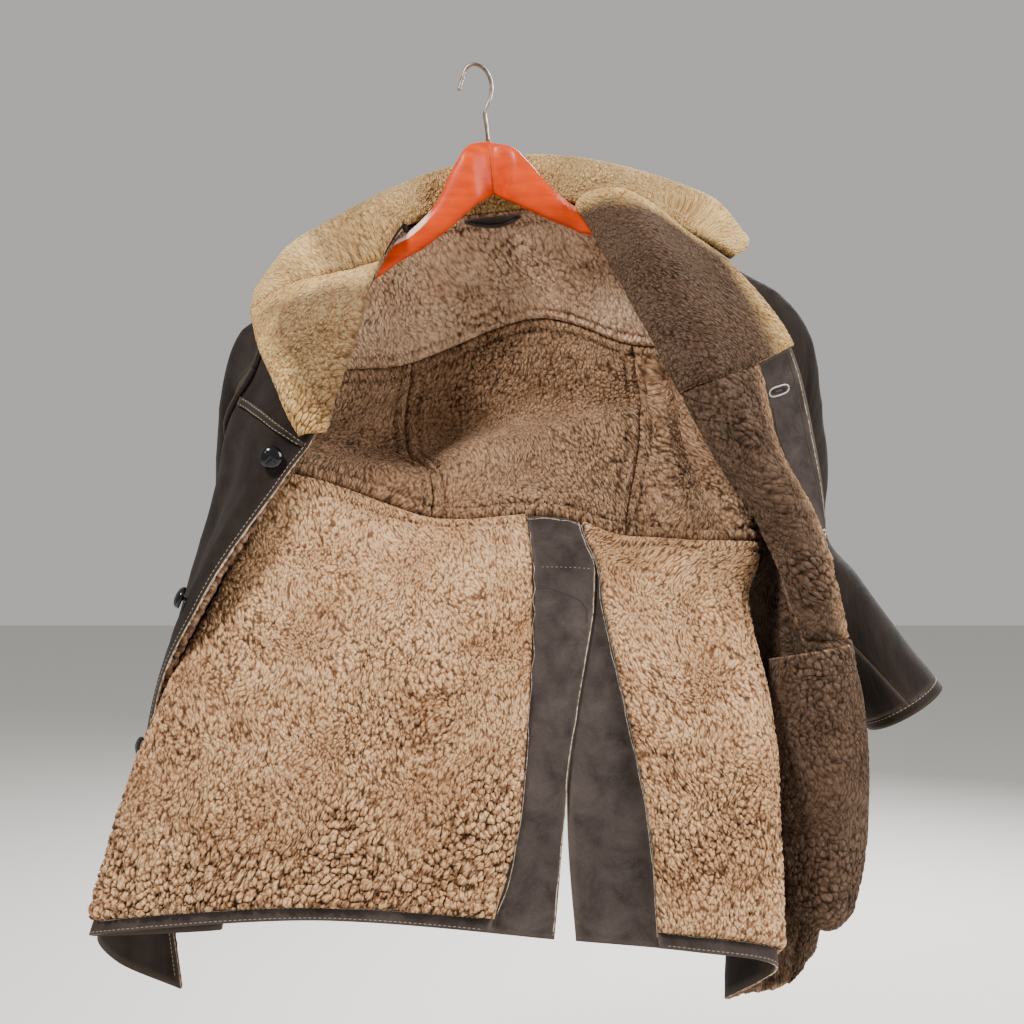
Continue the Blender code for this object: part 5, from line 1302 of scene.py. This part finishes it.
# %% The two arms and the hook
# top edge x, z; bottom edge x, z; half thickness; from the middle out
ARM_R = (
    (1.26, -6.9, 1.87, -12.25, 0.75),
    (-0.7, -7.6, 0.5, -13.3, 0.75),
    (-2.2, -9.8, -0.9, -14.5, 0.75),
    (-4.2, -13.8, -2.8, -16.2, 0.70),
    (-7.2, -16.6, -5.8, -18.3, 0.62),
    (-10.6, -18.6, -9.5, -20.6, 0.55),
    (-14.0, -20.8, -12.9, -22.8, 0.50),
    (-17.2, -22.9, -16.2, -24.7, 0.45),
    (-18.4, -23.9, -18.0, -24.8, 0.30),
)
ARM_L = (
    (1.26, -6.9, 1.87, -12.25, 0.75),
    (3.6, -7.7, 3.4, -13.2, 0.75),
    (5.3, -9.2, 4.8, -13.9, 0.75),
    (8.0, -12.2, 7.2, -15.0, 0.70),
    (11.2, -14.3, 10.5, -16.2, 0.60),
    (14.7, -15.8, 14.0, -17.7, 0.52),
    (18.2, -17.3, 17.5, -19.2, 0.48),
    (21.2, -18.7, 20.5, -20.3, 0.42),
    (22.3, -19.3, 22.0, -20.2, 0.30),
)
SQUARENESS = 0.80        # exponent that squares off the arm's oval section
ARM_FORWARD = -0.0135    # the arms curve forward of the collar before they pass under the shoulders
HALF_JOINT = 0.00015
SEAT = 0.0018 + 0.0030   # from the shoulder seam down past its wool to the top of the arm
ARM_RINGS, ARM_ROUND = 81, 40
CAP = 9                  # rings at the end of an arm that keep one height


def upright(rows):
    """Points (x, z) in the hook's upright plane, in metres in the coat's frame."""
    return placed(np.insert(np.array(rows, dtype=float), 1, HOOK[1], axis=1))


def beech_arm(name, node, rows, seam, neck_x):
    """Squared oval sections along the arm; under the shoulder they follow the seam that rests on them."""
    rows, joint = np.array(rows), placed((1.5, 0, 0))[0]
    share = weights(np.linspace(0, len(rows) - 1, ARM_RINGS), len(rows))
    top, low, half = share @ upright(rows[:, :2]), share @ upright(rows[:, 2:4]), share @ (rows[:, 4] * CM)
    out, end = np.abs(top[:, 0] - joint), np.sign(top[-1, 0] - joint)
    back = smooth((out - 0.06) / 0.035)
    bend = ARM_FORWARD * smooth(out / 0.03) * (1 - back) + back * np.interp(top[:, 0], seam[:, 0], seam[:, 1])
    ridge = np.interp(top[:, 0], seam[:, 0], seam[:, 2]) - SEAT
    sink = (ridge - top[:, 2]) * (out > abs(placed((neck_x, 0, 0))[0] - joint))
    sink[-CAP:] = sink[-CAP - 1]
    for line in (top, low):
        line[:, 1:] += np.stack((bend, sink), axis=1)
    angle = np.arange(ARM_ROUND) * 2 * pi / ARM_ROUND
    tall, flat = bent_to(SQUARENESS, np.cos(angle)), bent_to(SQUARENESS, np.sin(angle))
    rings = ((top + low) / 2)[:, None] + tall[None, :, None] * ((top - low) / 2)[:, None]
    rings = rings + flat[None, :, None] * half[:, None, None] * np.array((0, 1, 0))
    rings[0, :, 0] += end * HALF_JOINT
    rings = np.concatenate((rings[:1].mean(1, keepdims=True).repeat(ARM_ROUND, 1), rings,
                            rings[-1:].mean(1, keepdims=True).repeat(ARM_ROUND, 1)))
    along_arm = np.concatenate(((0,), out, (out[-1],)))
    # The `worn` values: pale along the top of each arm, 5.5 to 15 cm out, full on the right arm and a quarter
    # on the left; partly rubbed wear, partly painted highlight on the lit top edge.
    rubbed = smooth((tall - 0.35) / 0.3)[None] * smooth((along_arm - 0.055) / 0.02)[:, None]
    rubbed = rubbed * smooth((0.150 - along_arm) / 0.03)[:, None] * (1.0 if end < 0 else 0.25)
    faces = quads(ARM_RINGS + 2, ARM_ROUND, ring=True)
    made_mesh(name, rings.reshape(-1, 3), faces if end > 0 else faces[:, ::-1], [LACQUER],
              values={"worn": rubbed}, node=node)


def shoulder_line(start, stop):
    """x, y, z of the shoulder seam between two stations, ordered by x."""
    points = body(np.linspace(start, stop, 40), np.full(40, float(SHOULDER)))
    return points[np.argsort(points[:, 0])]


beech_arm("beech_arm_r", "hanger_arm_r", ARM_R, shoulder_line(B_RIGHT, R_TUCK), -7.0)
beech_arm("beech_arm_l", "hanger_arm_l", ARM_L, shoulder_line(B_LEFT, L_TUCK), 11.0)


def rod(name, bends, radius, sides, finish, node, owner=None):
    """A round wire along a smooth line through its bends."""
    way = weights(np.linspace(0, len(bends) - 1, (len(bends) - 1) * 12 + 1), len(bends)) @ bends
    tangent = unit(np.gradient(way, axis=0))
    side = unit(np.cross(tangent, (0.0, 1.0, 0.02)))
    points = tube(way, side, np.cross(side, tangent), radius, sides)
    made_mesh(name, points.reshape(-1, 3), quads(len(points), sides, ring=True), [finish], node=node,
              owner=owner)


HOOK_LINE = ((-1.69, -1.67), (-1.28, -0.25), (-0.88, 0.62), (-0.06, 0.95), (0.98, 0.36), (1.58, -0.96),
             (1.50, -2.38), (1.05, -3.6), (0.93, -4.2), (1.1, -5.4), (1.26, -6.85))
rod("steel_hook", upright(HOOK_LINE), 0.0018, 16, STEEL, "hanger_hook")
station, down = np.array(LOOP).T
ON_PATCH = PATCH_OUT + STRIP + 0.0013 + 0.0006    # the loop's radius and its clearance off the patch
loop_line = body(station, down) + lean(body, station, down) * ON_PATCH
rod("hanging_loop", loop_line, 0.0013, 8, STRIP_SUEDE, "neck_loop", "neck_patch_suede")
print("hanger and buttons made")

# %% [markdown]
# ## The cut list
# Every cloth piece is printed with the flat size that it was cut to: the length walked over it, with its
# area, because none of the pieces is a rectangle. Its wool and its stitches go with it in the list.
for name, cut in CUT.items():
    print("%-24s %.3f x %.3f m, %.4f m2" % (name, *cut["flat"], cut["area"]))

# %% [markdown]
# ## Floor, light and camera
# A plain pale floor and large soft lamps: one high at the front left, which rakes over the wool, a weaker
# one at the right, and one behind for the edges. The camera looks straight along +Y at the height of the
# waist.
# %% Studio
FLOOR_LEVEL, HALF_FLOOR = -1.25, 9
floor = bpy.data.meshes.new("studio_floor")
corners = ((-HALF_FLOOR, -HALF_FLOOR), (HALF_FLOOR, -HALF_FLOOR), (HALF_FLOOR, HALF_FLOOR),
           (-HALF_FLOOR, HALF_FLOOR))
floor.from_pydata([(x, y, FLOOR_LEVEL) for x, y in corners], [], [(0, 1, 2, 3)])
floor.materials.append(plain("plain pale floor", "D9D7D2", Roughness=0.9))
linked("studio_floor", floor)


def lamp(name, place, target, power, size):
    """A square area lamp turned to its target: its -Z axis along the way there."""
    light = bpy.data.lights.new(name, "AREA")
    light.energy, light.size = power, size
    made = linked(name, light)
    made.location = place
    way = np.array(target) - np.array(place)
    made.rotation_euler = (np.arctan2(np.hypot(way[0], way[1]), -way[2]), 0.0, np.arctan2(-way[0], way[1]))


MIDDLE = (0.03, 0.0, -0.45)
lamp("key_lamp", (-0.95, -1.3, 1.2), MIDDLE, 74, 0.4)
lamp("fill_lamp", (2.0, -0.8, 0.4), MIDDLE, 62, 1.2)
lamp("back_lamp", (0.9, 1.8, 0.8), MIDDLE, 150, 1.0)
world = bpy.data.worlds.new("pale studio")
bpy.context.scene.world = world
world.use_nodes = True
feed(world.node_tree.nodes["Background"], {"Color": linear("DAD8D4"), "Strength": 0.70})

camera = bpy.data.cameras.new("camera")
camera.sensor_width, camera.lens = 36.0, 36.0 * 1.5 / 1.024
view = linked("camera", camera)
view.location = (0.0376, -1.526, -0.4537)
view.rotation_euler = (pi / 2, 0.0, 0.0)
bpy.context.scene.camera = view
